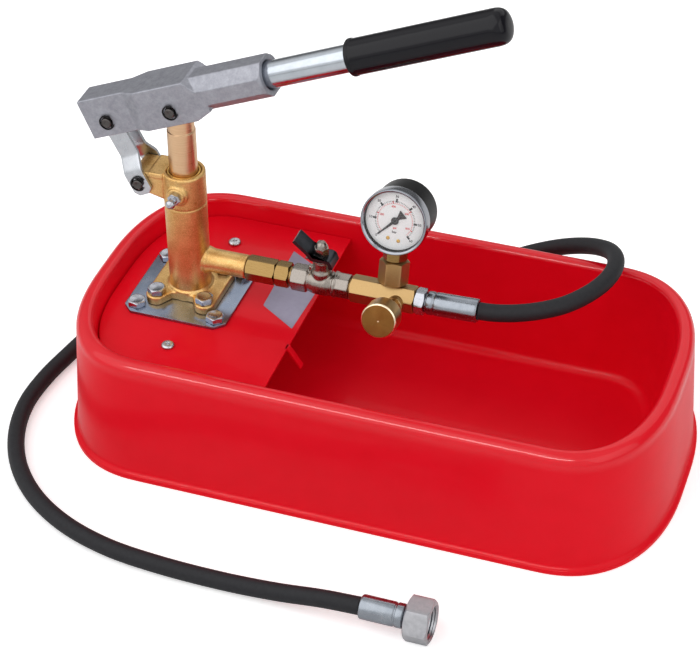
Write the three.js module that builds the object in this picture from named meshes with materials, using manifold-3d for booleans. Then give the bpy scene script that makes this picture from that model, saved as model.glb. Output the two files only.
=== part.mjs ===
// Hand-lever hydrostatic test pump: a pressed steel tank, a cast pump on its cover,
// and the outlet line with its valve, gauge, bleed screw and hose. Millimetres, +Z up.
// The origin is the middle of the tank's base, +X along the tank towards its free end.
import * as THREE from 'three';
import { mergeVertices } from 'three/addons/utils/BufferGeometryUtils.js';
import Module from 'manifold-3d';

const wasm = await Module();
wasm.setup();

// Clearances shared by every fit
const fitGap = 0.3;
const overrun = 1;

// Tank: one pressed sheet with a hemmed base, a rounded rim and a drafted basin
const tankLength = 375;
const tankWidth = 198.5;
const tankCornerX = 65.1;
const tankFlatEnd = 8.45;
const tankCornerY = tankWidth / 2 - tankFlatEnd;
const tankHeight = 82;
const tankSheet = 1.2;
const tankTaperX = 4.8;
const tankTaperY = 4.2;
const tankCornerPower = 2.35;
const hemFlare = 2.5;
const hemHeight = 4;
const rimOuterRadius = 6.5;
const rimFlat = 0.6;
const rimInnerRadius = 3.4;
const basinDraft = THREE.MathUtils.degToRad(8.5);
const basinFloor = 8;
const basinFillet = 7;
const outlineSteps = 7;
const roundSteps = 3;

// Cover sheet over the left part of the basin, and the pump's axis in from the tank's left end
const pumpInset = 63;
const pumpX = pumpInset - tankLength / 2;
const coverTop = 70;
const coverSheet = 1.5;
const coverGap = 1;
const coverReach = 75.4;
const coverEdgeX = pumpX + coverReach;
const tongueY = -33.5;
const tongueWidth = 4.6;
const tongueRun = 9;
const tongueDrop = 13;
const coverScrewShift = 7.1;
const coverScrewX = pumpX + coverScrewShift;
const coverScrewInset = 27.7;
const coverScrewShank = 2;
const coverScrewHead = 4;
const coverScrewHeadHeight = 2.2;
const coverScrewReach = 3;

// Bridge under the cover, between the basin's long walls
const bridgeWidth = 17;
const bridgeShift = 3.7;
const bridgeSheet = 2;
const bridgeLeg = 14;

// Mounting plate and its four bolts
const plateLength = 66;
const plateWidth = 65;
const plateThick = 2;
const plateChamfer = 6;
const plateBoltX = 25.5;
const plateBoltY = 25;
const boltShank = 3;
const boltAcross = 10;
const boltHeadHeight = 4;
const boltHeadChamfer = 0.6;
const nutHeight = 5;
const boltPastNut = 1.5;

// Cast pump body
const flangeThick = 5.5;
const flangeBoltX = 15.5;
const flangeBoltY = 16.6;
const flangeEar = 6.6;
const flangeEarTurn = THREE.MathUtils.degToRad(40);
const flangeNotchX = 6.8;
const flangeNotchY = 14;
const columnRadius = 12.75;
const columnTop = 160;
const columnFillet = 1.4;
const columnChamfer = 0.8;
const ringLineZ = 138;
const ringLineDepth = 0.4;
const ringLineWidth = 1.2;
const pumpBore = 9.2;
const pumpBoreFloor = 84;
const packingBore = 10.5;
const packingFloor = 138;
const sealHeight = 7;
const glandTopInset = 0.8;
const outletZ = 97;
const nozzleRadius = 7.3;
const nozzleRoot = 7.8;
const nozzleRootLength = 4;
const nozzleEndX = -86.2;
const passageRadius = 2.5;
const lugRadius = 6.9;
const lugHalfWidth = 10;
const lugFoot = 10;
const nippleZ = 149;
const nippleBossRadius = 6.2;
const nippleBossReach = 15;

// Grease nipple
const nippleHex = 7;
const nippleHexHeight = 3;
const nippleStem = 2;
const nippleStemLength = 3.2;
const nippleBall = 2.9;
const nippleBallLength = 3.6;
const nippleShank = 2.2;
const nippleShankLength = 4;

// Check balls
const ballRadius = 3.8;
const chamberRadius = 4.4;
const chamberDepth = 6;
const dischargeDepth = 8;

// Suction pipe below the cover
const pipeRadius = 4;
const pipeBore = 2.8;
const pipeSocketDepth = 4;
const strainerRadius = 8;
const strainerHeight = 15;
const strainerWall = 1.2;
const strainerFloorGap = 3;
const strainerSlots = 4;
const strainerSlotWidth = 2.4;
const strainerSlotInset = 3;

// Piston and the linkage's three pivots, in the plane Y = 0
const pistonRadius = 8.5;
const pistonHeadRadius = 7.9;
const pistonBottom = 107.5;
const pistonStepZ = 188.5;
const pistonPastPin = 7;
const pistonPinZ = 207.5;
const leverPitch = 46.2;
const leverAngle = THREE.MathUtils.degToRad(22.6);
const linkPitch = 41.46;
const linkLean = THREE.MathUtils.degToRad(26.5);
const pinRadius = 3;

// Lever head, in its own frame: u along the lever from the piston pin, w across it
const headLeft = 60;
const headBottom = 9.2;
const headTop = 16.4;
const headNarrow = 9;
const headWide = 13.5;
const headStepStart = 29;
const headStepEnd = 19.5;
const headShoulder = 14.5;
const headShoulderDrop = 7.4;
const headShoulderRun = 6.5;
const headHeelRun = 10.5;
const headHeelRise = 4.2;
const socketEnd = 63.5;
const socketAxisW = 4.1;
const socketHalfHeight = 11.1;
const socketChamferY = 7.8;
const socketChamferW = 6.3;
const socketEndRadius = 12.6;
const socketBottom = 29;
const socketMouthChamfer = 1.2;
const forkNarrow = 6.8;
const forkPiston = 8.8;
const forkRoof = 11.5;
const forkPistonLeft = 25;
const forkPistonRight = 12;
const leverTubeRadius = 8;
const leverTubeWall = 1.5;
const gripStart = 116;
const gripEnd = 212.4;
const gripRadius = 10.5;
const gripLipRadius = 10.9;
const gripLipLength = 2;
const gripDome = 7;
const gripWallEnd = 10;

// Link straps, in their own frame: s from the body pin to the lever pin
const strapWidth = 12.4;
const strapThick = 2.2;
const strapFoot = 8;
const strapHead = 6.2;
const strapUpperFace = 6.5;
const strapLowerFace = 12.5;
const joggleStart = 7.3;
const joggleEnd = 16.3;

// Pin ends and their retaining clips
const pinNose = 2.2;
const pinHeadRadius = 4.3;
const pinHeadThick = 1.4;
const clipRadius = 4.8;
const clipThick = 0.9;
const clipMouth = 2.6;
const clipStand = 0.5;

// Outlet line along X at outletZ
const lineZero = 124.5;
const lineX = pumpX + lineZero;
const adaptorAcross = 14;
const adaptorEndX = -67.7;
const adaptorNutEndX = -58.8;
const lineSpigot = 5.7;
const lineSpigotReach = 4;
const lineChamfer = 0.6;
const lineTurn = THREE.MathUtils.degToRad(40);
const valveStartX = -57.1;
const valveHexEndX = -47.2;
const valveAcross = 14.8;
const valveBodyRadius = 8.1;
const valveWaistRadius = 6.9;
const valveRightX = -30.8;
const valveEndX = -20.9;
const valveStemX = -39;
const valvePort = 3.5;
const valveBallRadius = 5.6;
const stemBossRadius = 5.2;
const stemBossTop = 16.5;
const stemRadius = 2.5;
const stopLugRadius = 1.8;
const stopLugX = -45.6;
const stopLugRise = 11;
const handleWidth = 12;
const handleThick = 1.8;
const handleBase = 18.4;
const handleInner = 5;
const handleFlare = 2.6;
const handleFlareRise = 3.6;
const wingReach = 16;
const wingRise = 11;
const toeInner = 6.8;
const toeReach = 8;
const toeDrop = 4.2;
const stopPlateThick = 1;
const stopPlateRadius = 6.2;
const stopPlateTab = 3;
const handleNutAcross = 8;
const handleNutHeight = 5.5;
const handleNutDome = 4;

// Tee block, turned back about the line with the gauge on it
const teeStartX = -19.8;
const teeEndX = 19.8;
const teeAcross = 15;
const teeLean = THREE.MathUtils.degToRad(16);
const teeBore = 3.5;
const gaugeBossX = 4.6;
const gaugeBossAcross = 16;
const gaugeBossTurn = THREE.MathUtils.degToRad(-16.6);
const gaugeBossNeck = 6.4;
const gaugeBossFoot = 8.8;
const gaugeBossReach = 22.8;
const gaugePort = 4.8;
const bleedX = 9.6;
const bleedBossRadius = 8;
const bleedBossReach = 20;
const bleedPort = 3.9;

// Bleed screw and its knob
const knobRadius = 10.6;
const knobRearRadius = 9.8;
const knobStart = 28;
const knobFace = 42.5;
const knobEdge = 0.7;
const knobNeck = 6;
const bleedShank = 3.6;
const bleedShankReach = 12;

// Pressure gauge, face along n, stem along d
const gaugeStemAcross = 13;
const gaugeStemShank = 4.5;
const gaugeStemNeck = 3.4;
const gaugeStemDepth = 9;
const gaugeStemHex = 6.1;
const gaugeCaseRadius = 18.8;
const gaugeCaseWall = 1.3;
const gaugeCaseBack = -17.5;
const gaugeCaseFront = 9;
const gaugeCaseRound = 2;
const bezelProud = 1.3;
const bezelRadius = gaugeCaseRadius + bezelProud;
const bezelStart = 4;
const bezelFace = 12;
const bezelLipInset = 1.4;
const bezelLip = gaugeCaseRadius - bezelLipInset;
const bezelLipThick = 1;
const bezelEdge = 0.4;
const lensThick = 1.6;
const dialInset = 0.1;
const dialRadius = bezelLip - dialInset;
const dialThick = 0.8;
const dialFace = 5.6;
const pointerShort = 3.2;
const pointerTip = dialRadius - pointerShort;
const pointerTail = 6.4;
const pointerTailWidth = 3.6;
const pointerHub = 2.2;
const pointerHubHeight = 1.4;
const pointerThick = 0.6;
const pointerRest = THREE.MathUtils.degToRad(225);

// Hose, its ferrules and nuts
const nearNutAcross = 14.4;
const nearNutEndX = 26.3;
const nearNutNeckReach = 0.5;
const nearNutNeck = 5.2;
const nearSpigot = 4.2;
const nearSpigotReach = 5;
const ferruleRadius = 7.15;
const ferruleWaist = 6.6;
const ferruleGroove = 0.5;
const ferruleGrooveWidth = 1.4;
const ferruleChamfer = 0.6;
const nearFerruleEndX = 58.3;
const nearFerruleTilt = THREE.MathUtils.degToRad(2);
const nearGrooveShares = [0.12, 0.22];
const farGrooveShares = [0.8];
const hoseRadius = 5.25;
const hoseSides = 8;
const hoseSteps = 48;
const farReach = 170;
const farFerruleStartX = 42.3;
const farFerruleEndX = 68;
const farNutStartX = 69.5;
const farNutEndX = 84;
const farNutAcross = 24;
const farNutBore = 9.2;
const farNutWall = 3;
const farNutChamfer = 1;
const farNeck = 5;
const farCollar = 7.6;
const farCollarThick = 2.4;

// The hose's route, chosen by hand from the photographed loop: out of the near ferrule,
// round over the rear rim, down and along behind the tank, round its left end, to the far ferrule
const routeWidth = 198.5;
const routeShare = tankWidth / routeWidth;
const hoseRoute = [
  [58.7, 0, 98.2], [67, 0.4, 98.6], [80, 3.2, 99.4], [93, 8.8, 100.3], [105, 17.6, 100.9],
  [115, 31, 101], [121.8, 47, 100.5], [124, 63, 99], [121.8, 78, 96.2], [115.5, 91, 91.6],
  [105, 101.5, 85.3], [92, 109.8, 77.6], [78, 115.4, 69.4], [62, 119, 59.8], [44, 121, 48.6],
  [25, 121.6, 37], [5, 121.2, 25.4], [-15, 120.2, 15.4], [-36, 118.8, 8.6], [-58, 117.4, 5.8],
  [-90, 116, 5.4], [-122, 114.5, 5.4], [-150, 109, 5.4], [-172, 96.5, 5.4], [-187.5, 76, 5.4],
  [-197, 50, 5.4], [-203.5, 20, 5.4], [-209, -8, 5.4], [-213.3, -34, 5.4], [-213.8, -62, 5.4],
  [-207, -90, 5.4], [-193, -116, 5.4], [-172, -138, 5.4], [-145, -154.5, 5.4], [-114, -164.5, 5.4],
  [-80, -168.6, 5.4], [-40, -169.6, 5.4], [-8, -169.9, 7.4], [20, -170, 10.8], [42, -170, 12],
];

// Materials
function finish(color, roughness, metalness) {
  return new THREE.MeshStandardMaterial({ color, roughness, metalness });
}
const redPaint = finish(0xd80a20, 0.28, 0.1);
const castBrass = finish(0xb98a4a, 0.42, 1);
const brightBrass = finish(0xc9a057, 0.28, 1);
const pistonBronze = finish(0xd9a574, 0.25, 1);
const nickel = finish(0xb9b3aa, 0.3, 1);
const zinc = finish(0xa9b0b6, 0.32, 1);
const castAluminium = finish(0x9a9aa0, 0.55, 0.9);
const brightTube = finish(0xc4cbd0, 0.18, 1);
const blackSteel = finish(0x1c1a1a, 0.45, 0.6);
const blackGrip = finish(0x0c0c0e, 0.25, 0);
const darkHandle = finish(0x4a4c50, 0.5, 0.4);
const blackRubber = finish(0x29282b, 0.7, 0);
const sealRubber = finish(0x151515, 0.8, 0);
const caseBlack = finish(0x141416, 0.35, 0);
const bezelGrey = finish(0x8d9096, 0.3, 0.2);
const dialWhite = finish(0xeeeeec, 0.6, 0);
const clearLens = finish(0xe4ebee, 0.05, 0);

const pump = new THREE.Group();

// Solids: every shape below is a closed geometry, and cuts and joins go through these
function solid(geometry) {
  const plain = geometry.clone();
  plain.deleteAttribute('normal');
  plain.deleteAttribute('uv');
  const merged = mergeVertices(plain, 1e-5);
  return new wasm.Manifold(new wasm.Mesh({
    numProp: 3,
    vertProperties: new Float32Array(merged.attributes.position.array),
    triVerts: new Uint32Array(merged.index.array),
  }));
}

function geometryOf(body) {
  const mesh = body.getMesh();
  const geometry = new THREE.BufferGeometry();
  geometry.setAttribute('position', new THREE.BufferAttribute(new Float32Array(mesh.vertProperties), 3));
  geometry.setIndex(new THREE.BufferAttribute(new Uint32Array(mesh.triVerts), 1));
  geometry.computeVertexNormals();
  return geometry;
}

function shaped(base, joined, cut) {
  let body = solid(base);
  for (const piece of joined) body = body.add(solid(piece));
  for (const piece of cut) body = body.subtract(solid(piece));
  return geometryOf(body);
}

function common(first, second) {
  return geometryOf(solid(first).intersect(solid(second)));
}

function addPiece(name, geometry, material, parent = pump) {
  const mesh = new THREE.Mesh(geometry, material);
  mesh.name = name;
  parent.add(mesh);
  return mesh;
}

// A turned piece from [radius, height] points, its axis on +Z
function turned(points, sides) {
  const profile = points.map(([radius, height]) => new THREE.Vector2(radius, height));
  return new THREE.LatheGeometry(profile, sides).rotateX(Math.PI / 2);
}

function rod(radius, from, to, sides = 12) {
  return turned([[0, from], [radius, from], [radius, to], [0, to]], sides);
}

// A hexagonal or other prism along +Z, one flat facing the angle given, its end edges chamfered
function prismBar(across, from, to, chamfer, flat = 0, count = 6) {
  const corner = across / 2 / Math.cos(Math.PI / count);
  const bar = new THREE.CylinderGeometry(corner, corner, to - from, count);
  bar.rotateX(Math.PI / 2).rotateZ(flat + Math.PI / 2 + Math.PI / count);
  bar.translate(0, 0, (from + to) / 2);
  if (chamfer === 0) return bar;
  const cone = turned([
    [0, from], [corner - chamfer, from], [corner, from + chamfer],
    [corner, to - chamfer], [corner - chamfer, to], [0, to],
  ], 2 * count);
  return common(bar, cone);
}

function block(fromX, toX, fromY, toY, fromZ, toZ) {
  const box = new THREE.BoxGeometry(toX - fromX, toY - fromY, toZ - fromZ);
  return box.translate((fromX + toX) / 2, (fromY + toY) / 2, (fromZ + toZ) / 2);
}

// An outline of [x, y] points pushed along +Z
function slab(points, from, to, holes = []) {
  const shape = new THREE.Shape(points.map(([x, y]) => new THREE.Vector2(x, y)));
  for (const [x, y, radius] of holes) {
    shape.holes.push(new THREE.Path().absarc(x, y, radius, 0, 2 * Math.PI, true));
  }
  const plate = new THREE.ExtrudeGeometry(shape, { depth: to - from, bevelEnabled: false, curveSegments: 4 });
  return plate.translate(0, 0, from);
}

// The same outline read as [x, z] and pushed along +Y
function sideSlab(points, from, to) {
  return slab(points, -to, -from).rotateX(Math.PI / 2);
}

// Turns a piece made along +Z so that it runs along +X or towards -Y
const alongX = (geometry) => geometry.rotateY(Math.PI / 2);
const towardsFront = (geometry) => geometry.rotateX(Math.PI / 2);

// Tank outline at a height: the skirt tapers upwards, and an inset shrinks the outline all round.
// The basin's wall is drafted by its inset alone, so its rings are taken at the rim's height.
function tankOutline(inset, height) {
  const rise = THREE.MathUtils.clamp((height - hemHeight) / (tankHeight - rimOuterRadius - hemHeight), 0, 1);
  const cornerX = tankCornerX - rise * tankTaperX - inset;
  const cornerY = tankCornerY - rise * tankTaperY - inset;
  const flatX = tankLength / 2 - tankCornerX;
  const flatY = tankWidth / 2 - tankCornerY;
  const corner = [];
  for (let step = 0; step <= outlineSteps; step += 1) {
    const turn = (step / outlineSteps) * Math.PI / 2;
    corner.push([
      flatX + cornerX * Math.cos(turn) ** (2 / tankCornerPower),
      flatY + cornerY * Math.sin(turn) ** (2 / tankCornerPower),
    ]);
  }
  const back = corner.slice().reverse();
  return [
    ...corner, ...back.map(([x, y]) => [-x, y]),
    ...corner.map(([x, y]) => [-x, -y]), ...back.map(([x, y]) => [x, -y]),
  ];
}

const rimWidth = rimOuterRadius + rimFlat + rimInnerRadius;
const basinWallTop = tankHeight - rimInnerRadius;
function basinInset(height) {
  return rimWidth + (basinWallTop - height) * Math.tan(basinDraft);
}

function basinHalfWidth(height) {
  return tankWidth / 2 - tankTaperY - basinInset(height);
}
const coverScrewY = basinHalfWidth(coverTop - coverSheet) - coverScrewInset;

// A quarter round in the tank's section, as [inset, height] points
function roundedSection(centreInset, centreHeight, radius, from, to) {
  const points = [];
  for (let step = 0; step <= roundSteps; step += 1) {
    const turn = from + ((to - from) * step) / roundSteps;
    points.push([centreInset - radius * Math.cos(turn), centreHeight + radius * Math.sin(turn)]);
  }
  return points;
}

// One face of the sheet, from the skirt's foot over the rim to the basin floor
function tankSection(offset) {
  const quarter = Math.PI / 2;
  const wallLean = quarter - basinDraft;
  const filletHeight = basinFloor + basinFillet;
  const footInset = basinInset(filletHeight - basinFillet * Math.sin(basinDraft));
  const filletInset = footInset + basinFillet * Math.cos(basinDraft);
  return [
    ...roundedSection(rimOuterRadius, tankHeight - rimOuterRadius, rimOuterRadius - offset, 0, quarter),
    ...roundedSection(
      rimOuterRadius + rimFlat, basinWallTop, rimInnerRadius - offset, quarter, quarter + wallLean,
    ),
    ...roundedSection(filletInset, filletHeight, basinFillet + offset, -basinDraft, -quarter),
  ];
}

function tankShell() {
  const hemRound = hemHeight / 4;
  const outer = [
    [-hemFlare, 0], [-hemFlare, hemHeight - hemRound], [hemRound - hemFlare, hemHeight],
    [0, hemHeight + hemRound], ...tankSection(0),
  ];
  const inner = [...tankSection(tankSheet).reverse(), [tankSheet, hemHeight + hemRound], [tankSheet, 0]];
  const rings = [...outer, ...inner].map(([inset, height]) => (
    tankOutline(inset, inset > rimOuterRadius ? tankHeight : height).map(([x, y]) => [x, y, height])
  ));
  const count = rings[0].length;
  const positions = rings.flat(2);
  positions.push(0, 0, basinFloor, 0, 0, basinFloor - tankSheet);
  const floorCentre = rings.length * count;
  const index = [];
  for (let ring = 0; ring < rings.length; ring += 1) {
    const next = (ring + 1) % rings.length;
    for (let side = 0; side < count; side += 1) {
      const beside = (side + 1) % count;
      const [a, b] = [ring * count + side, ring * count + beside];
      const [c, d] = [next * count + beside, next * count + side];
      if (ring === outer.length - 1) {
        index.push(a, b, floorCentre, floorCentre + 1, c, d);
      } else {
        index.push(a, b, c, a, c, d);
      }
    }
  }
  const geometry = new THREE.BufferGeometry();
  geometry.setAttribute('position', new THREE.Float32BufferAttribute(positions, 3));
  geometry.setIndex(index);
  return geometryOf(solid(geometry));
}

// Cover: the basin's D-shaped end with a straight free edge and a narrow tongue bent down from it
function coverPlate() {
  const inset = basinInset(coverTop - coverSheet) + coverGap;
  const curved = tankOutline(inset, tankHeight).filter(([x]) => x < 0);
  const halfWidth = Math.max(...curved.map(([, y]) => y));
  const outline = [[coverEdgeX, halfWidth], ...curved, [coverEdgeX, -halfWidth]];
  const holes = [[pumpX, 0, pipeRadius + 2 * fitGap]];
  for (const side of [-1, 1]) holes.push([coverScrewX, side * coverScrewY, coverScrewShank + fitGap]);
  for (const [x, y] of [...boltPlaces(plateBoltX, plateBoltY), ...boltPlaces(flangeBoltX, flangeBoltY)]) {
    holes.push([x, y, boltShank + fitGap]);
  }
  const low = coverTop - coverSheet;
  const tongue = sideSlab([
    [coverEdgeX - coverSheet, low], [coverEdgeX - coverSheet, coverTop], [coverEdgeX, coverTop],
    [coverEdgeX + tongueRun, coverTop - tongueDrop],
    [coverEdgeX + tongueRun - coverSheet, coverTop - tongueDrop], [coverEdgeX, low],
  ], tongueY - tongueWidth / 2, tongueY + tongueWidth / 2);
  return shaped(slab(outline, low, coverTop, holes), [tongue], []);
}

function boltPlaces(spreadX, spreadY) {
  return [[-1, -1], [1, -1], [1, 1], [-1, 1]].map(([sideX, sideY]) => [
    pumpX + sideX * spreadX, sideY * spreadY,
  ]);
}

function coverBridge() {
  const top = coverTop - coverSheet;
  const section = (shrink) => {
    const edge = (height) => basinHalfWidth(height) - fitGap - shrink;
    const low = top - bridgeLeg - (shrink > 0 ? overrun : 0);
    const high = top - shrink;
    return [[-edge(low), low], [edge(low), low], [edge(high), high], [-edge(high), high]];
  };
  const across = (points, half) => slab(points, -half, half).rotateX(Math.PI / 2).rotateZ(Math.PI / 2);
  const hole = (x, y, radius) => (
    rod(radius, top - bridgeSheet - overrun, top + overrun).translate(x, y, 0)
  );
  const middle = coverScrewX + bridgeShift;
  const bridge = across(section(0), bridgeWidth / 2).translate(middle, 0, 0);
  return shaped(bridge, [], [
    across(section(bridgeSheet), bridgeWidth / 2 + overrun).translate(middle, 0, 0),
    hole(pumpX, 0, pipeRadius + fitGap),
    hole(coverScrewX, -coverScrewY, coverScrewShank + fitGap),
    hole(coverScrewX, coverScrewY, coverScrewShank + fitGap),
    ...boltPlaces(flangeBoltX, flangeBoltY).map(([x, y]) => hole(x, y, boltShank + fitGap)),
  ]);
}

addPiece('tank', tankShell(), redPaint);
addPiece('cover_plate', coverPlate(), redPaint);
addPiece('cover_bridge', coverBridge(), redPaint);

// Pan-headed cover screws, through the cover into the bridge
for (const [name, side] of [['cover_screw_front', -1], ['cover_screw_back', 1]]) {
  const edge = coverScrewHeadHeight / 3;
  const tip = -coverSheet - bridgeSheet - coverScrewReach;
  const screw = turned([
    [0, tip], [coverScrewShank, tip], [coverScrewShank, 0], [coverScrewHead, 0],
    [coverScrewHead, coverScrewHeadHeight - edge],
    [coverScrewHead - edge, coverScrewHeadHeight], [0, coverScrewHeadHeight],
  ], 12);
  addPiece(name, screw, zinc).position.set(coverScrewX, side * coverScrewY, coverTop);
}

// Zinc-plated mounting plate with cropped corners
function mountingPlate() {
  const [x, y] = [plateLength / 2, plateWidth / 2];
  const [cx, cy] = [x - plateChamfer, y - plateChamfer];
  const outline = [[-cx, -y], [cx, -y], [x, -cy], [x, cy], [cx, y], [-cx, y], [-x, cy], [-x, -cy]];
  const holes = [[pumpX, 0, pipeRadius + 2 * fitGap]];
  for (const place of [...boltPlaces(plateBoltX, plateBoltY), ...boltPlaces(flangeBoltX, flangeBoltY)]) {
    holes.push([...place, boltShank + fitGap]);
  }
  return slab(outline.map(([px, py]) => [px + pumpX, py]), coverTop, coverTop + plateThick, holes);
}

function hexBolt(shankLength) {
  const corner = boltAcross / 2 / Math.cos(Math.PI / 6);
  const crown = turned([
    [0, 0], [corner + overrun, 0], [corner + overrun, boltHeadHeight - boltHeadChamfer - overrun],
    [corner - boltHeadChamfer, boltHeadHeight], [0, boltHeadHeight],
  ], 12);
  const head = common(prismBar(boltAcross, 0, boltHeadHeight, 0), crown);
  return shaped(head, [rod(boltShank, -shankLength, overrun, 8)], []);
}

function hexNut() {
  const bar = prismBar(boltAcross, -nutHeight, 0, 0);
  return shaped(bar, [], [rod(boltShank + fitGap, -nutHeight - overrun, overrun, 8)]);
}

addPiece('mounting_plate', mountingPlate(), zinc);
const plateTop = coverTop + plateThick;
const flangeTop = plateTop + flangeThick;
boltPlaces(plateBoltX, plateBoltY).forEach(([x, y], place) => {
  const shank = plateThick + coverSheet + nutHeight + boltPastNut;
  addPiece(`plate_bolt_${place + 1}`, hexBolt(shank), zinc).position.set(x, y, plateTop);
  addPiece(`plate_nut_${place + 1}`, hexNut(), zinc).position.set(x, y, coverTop - coverSheet);
});
boltPlaces(flangeBoltX, flangeBoltY).forEach(([x, y], place) => {
  const shank = flangeThick + plateThick + coverSheet + boltPastNut;
  addPiece(`flange_bolt_${place + 1}`, hexBolt(shank), zinc).position.set(x, y, flangeTop);
});

// Pump body: a cast column on a four-eared foot, with the link's lug, the nipple boss and the outlet nozzle
const bodyPinX = pumpX - leverPitch * Math.cos(leverAngle) + linkPitch * Math.sin(linkLean);
const bodyPinZ = pistonPinZ - leverPitch * Math.sin(leverAngle) - linkPitch * Math.cos(linkLean);

// The foot's outline: four round ears, straight along Y between them, notched along X
function footOutline() {
  const foot = new THREE.Shape();
  for (const [sideX, sideY] of [[1, 1], [-1, 1], [-1, -1], [1, -1]]) {
    const outward = Math.atan2(sideY, sideX);
    const toSide = Math.PI / 4;
    const toNotch = toSide + flangeEarTurn;
    const [before, after] = sideX * sideY > 0 ? [toSide, toNotch] : [toNotch, toSide];
    const notch = [sideX * flangeNotchX, sideY * flangeNotchY];
    if (sideX * sideY < 0) foot.lineTo(...notch);
    foot.absarc(
      sideX * flangeBoltX, sideY * flangeBoltY, flangeEar,
      outward - before, outward + after, false,
    );
    if (sideX * sideY > 0) foot.lineTo(...notch);
  }
  return foot;
}

function pumpBody() {
  const foot = new THREE.ExtrudeGeometry(footOutline(), {
    depth: flangeThick, bevelEnabled: false, curveSegments: 6,
  }).translate(pumpX, 0, plateTop);
  const line = ringLineWidth / 2;
  const column = turned([
    [0, plateTop], [columnRadius + columnFillet, plateTop], [columnRadius + columnFillet, flangeTop],
    [columnRadius + columnFillet / 3, flangeTop + columnFillet / 3], [columnRadius, flangeTop + columnFillet],
    [columnRadius, ringLineZ - line], [columnRadius - ringLineDepth, ringLineZ],
    [columnRadius, ringLineZ + line],
    [columnRadius, columnTop - columnChamfer], [columnRadius - columnChamfer, columnTop], [0, columnTop],
  ], 20).translate(pumpX, 0, 0);
  const nozzleLength = lineZero + nozzleEndX;
  const nozzle = alongX(turned([
    [0, 0], [nozzleRoot, 0], [nozzleRoot, columnRadius], [nozzleRadius, columnRadius + nozzleRootLength],
    [nozzleRadius, nozzleLength - lineChamfer], [nozzleRadius - lineChamfer, nozzleLength], [0, nozzleLength],
  ], 16)).translate(pumpX, 0, outletZ);
  const lugRound = alongYPin(lugRadius, -lugHalfWidth, lugHalfWidth, 16).translate(bodyPinX, 0, bodyPinZ);
  const lugArm = sideSlab([
    [bodyPinX, bodyPinZ - lugRadius], [pumpX - pumpBore - overrun, bodyPinZ - lugFoot],
    [pumpX - pumpBore - overrun, bodyPinZ + lugRadius], [bodyPinX, bodyPinZ + lugRadius],
  ], -lugHalfWidth, lugHalfWidth);
  const boss = towardsFront(rod(nippleBossRadius, pumpBore + overrun, nippleBossReach))
    .translate(pumpX, 0, nippleZ);
  const shaft = (radius, from, to, sides) => rod(radius, from, to, sides).translate(pumpX, 0, 0);
  const cuts = [
    shaft(pumpBore, pumpBoreFloor, columnTop + overrun, 16),
    shaft(packingBore, packingFloor, columnTop + overrun, 16),
    shaft(chamberRadius, pumpBoreFloor - chamberDepth, pumpBoreFloor + overrun, 12),
    shaft(passageRadius, plateTop, pumpBoreFloor, 12),
    shaft(pipeRadius + fitGap, plateTop - overrun, plateTop + pipeSocketDepth, 12),
    alongX(rod(passageRadius, 0, nozzleLength + overrun, 12)).translate(pumpX, 0, outletZ),
    alongYPin(pinRadius + fitGap, -lugHalfWidth - overrun, lugHalfWidth + overrun, 12)
      .translate(bodyPinX, 0, bodyPinZ),
    towardsFront(rod(nippleShank + fitGap, 0, nippleBossReach + overrun, 12)).translate(pumpX, 0, nippleZ),
  ];
  for (const [x, y] of boltPlaces(flangeBoltX, flangeBoltY)) {
    cuts.push(rod(boltShank + fitGap, plateTop - overrun, flangeTop + overrun, 8).translate(x, y, 0));
    cuts.push(prismBar(boltAcross + 2 * fitGap, flangeTop, flangeTop + columnFillet + boltHeadHeight, 0)
      .translate(x, y, 0));
  }
  return shaped(foot, [column, nozzle, lugRound, lugArm, boss], cuts);
}

// A round bar across the pump, from one Y to another
function alongYPin(radius, from, to, sides) {
  return rod(radius, -to, -from, sides).rotateX(Math.PI / 2);
}

addPiece('pump_body', pumpBody(), castBrass);

// Packing ring and gland bush that seal the piston in the top of the body
addPiece('piston_seal', turned([
  [pistonRadius + fitGap, 0], [packingBore - fitGap, 0], [packingBore - fitGap, sealHeight],
  [pistonRadius + fitGap, sealHeight], [pistonRadius + fitGap, 0],
], 16), sealRubber).position.set(pumpX, 0, packingFloor);
const glandHeight = columnTop - glandTopInset - packingFloor - sealHeight;
addPiece('gland_ring', turned([
  [pistonRadius + fitGap, 0], [packingBore - fitGap, 0], [packingBore - fitGap, glandHeight],
  [pistonRadius + fitGap, glandHeight], [pistonRadius + fitGap, 0],
], 16), brightBrass).position.set(pumpX, 0, packingFloor + sealHeight);

// Grease nipple in its boss, pointing to the front
const nippleStemEnd = nippleHexHeight + nippleStemLength;
addPiece('grease_nipple', towardsFront(shaped(
  prismBar(nippleHex, 0, nippleHexHeight, 0),
  [
    rod(nippleShank, -nippleShankLength, overrun, 12),
    turned([
      [0, 0], [nippleStem, 0], [nippleStem, nippleStemEnd],
      [nippleBall, nippleStemEnd + nippleBallLength / 3],
      [nippleBall, nippleStemEnd + nippleBallLength / 2], [nippleStem / 2, nippleStemEnd + nippleBallLength],
      [0, nippleStemEnd + nippleBallLength],
    ], 12),
  ],
  [],
)), zinc).position.set(pumpX, -nippleBossReach, nippleZ);

// Check balls: one under the bore, one behind the nozzle, each a running gap off its seat
const seatRise = Math.sqrt(ballRadius ** 2 - passageRadius ** 2) + fitGap;
addPiece('suction_ball', new THREE.SphereGeometry(ballRadius, 10, 6), zinc)
  .position.set(pumpX, 0, pumpBoreFloor - chamberDepth + seatRise);
addPiece('discharge_ball', new THREE.SphereGeometry(ballRadius, 10, 6), zinc)
  .position.set(lineX + nozzleEndX + seatRise, 0, outletZ);

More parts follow.
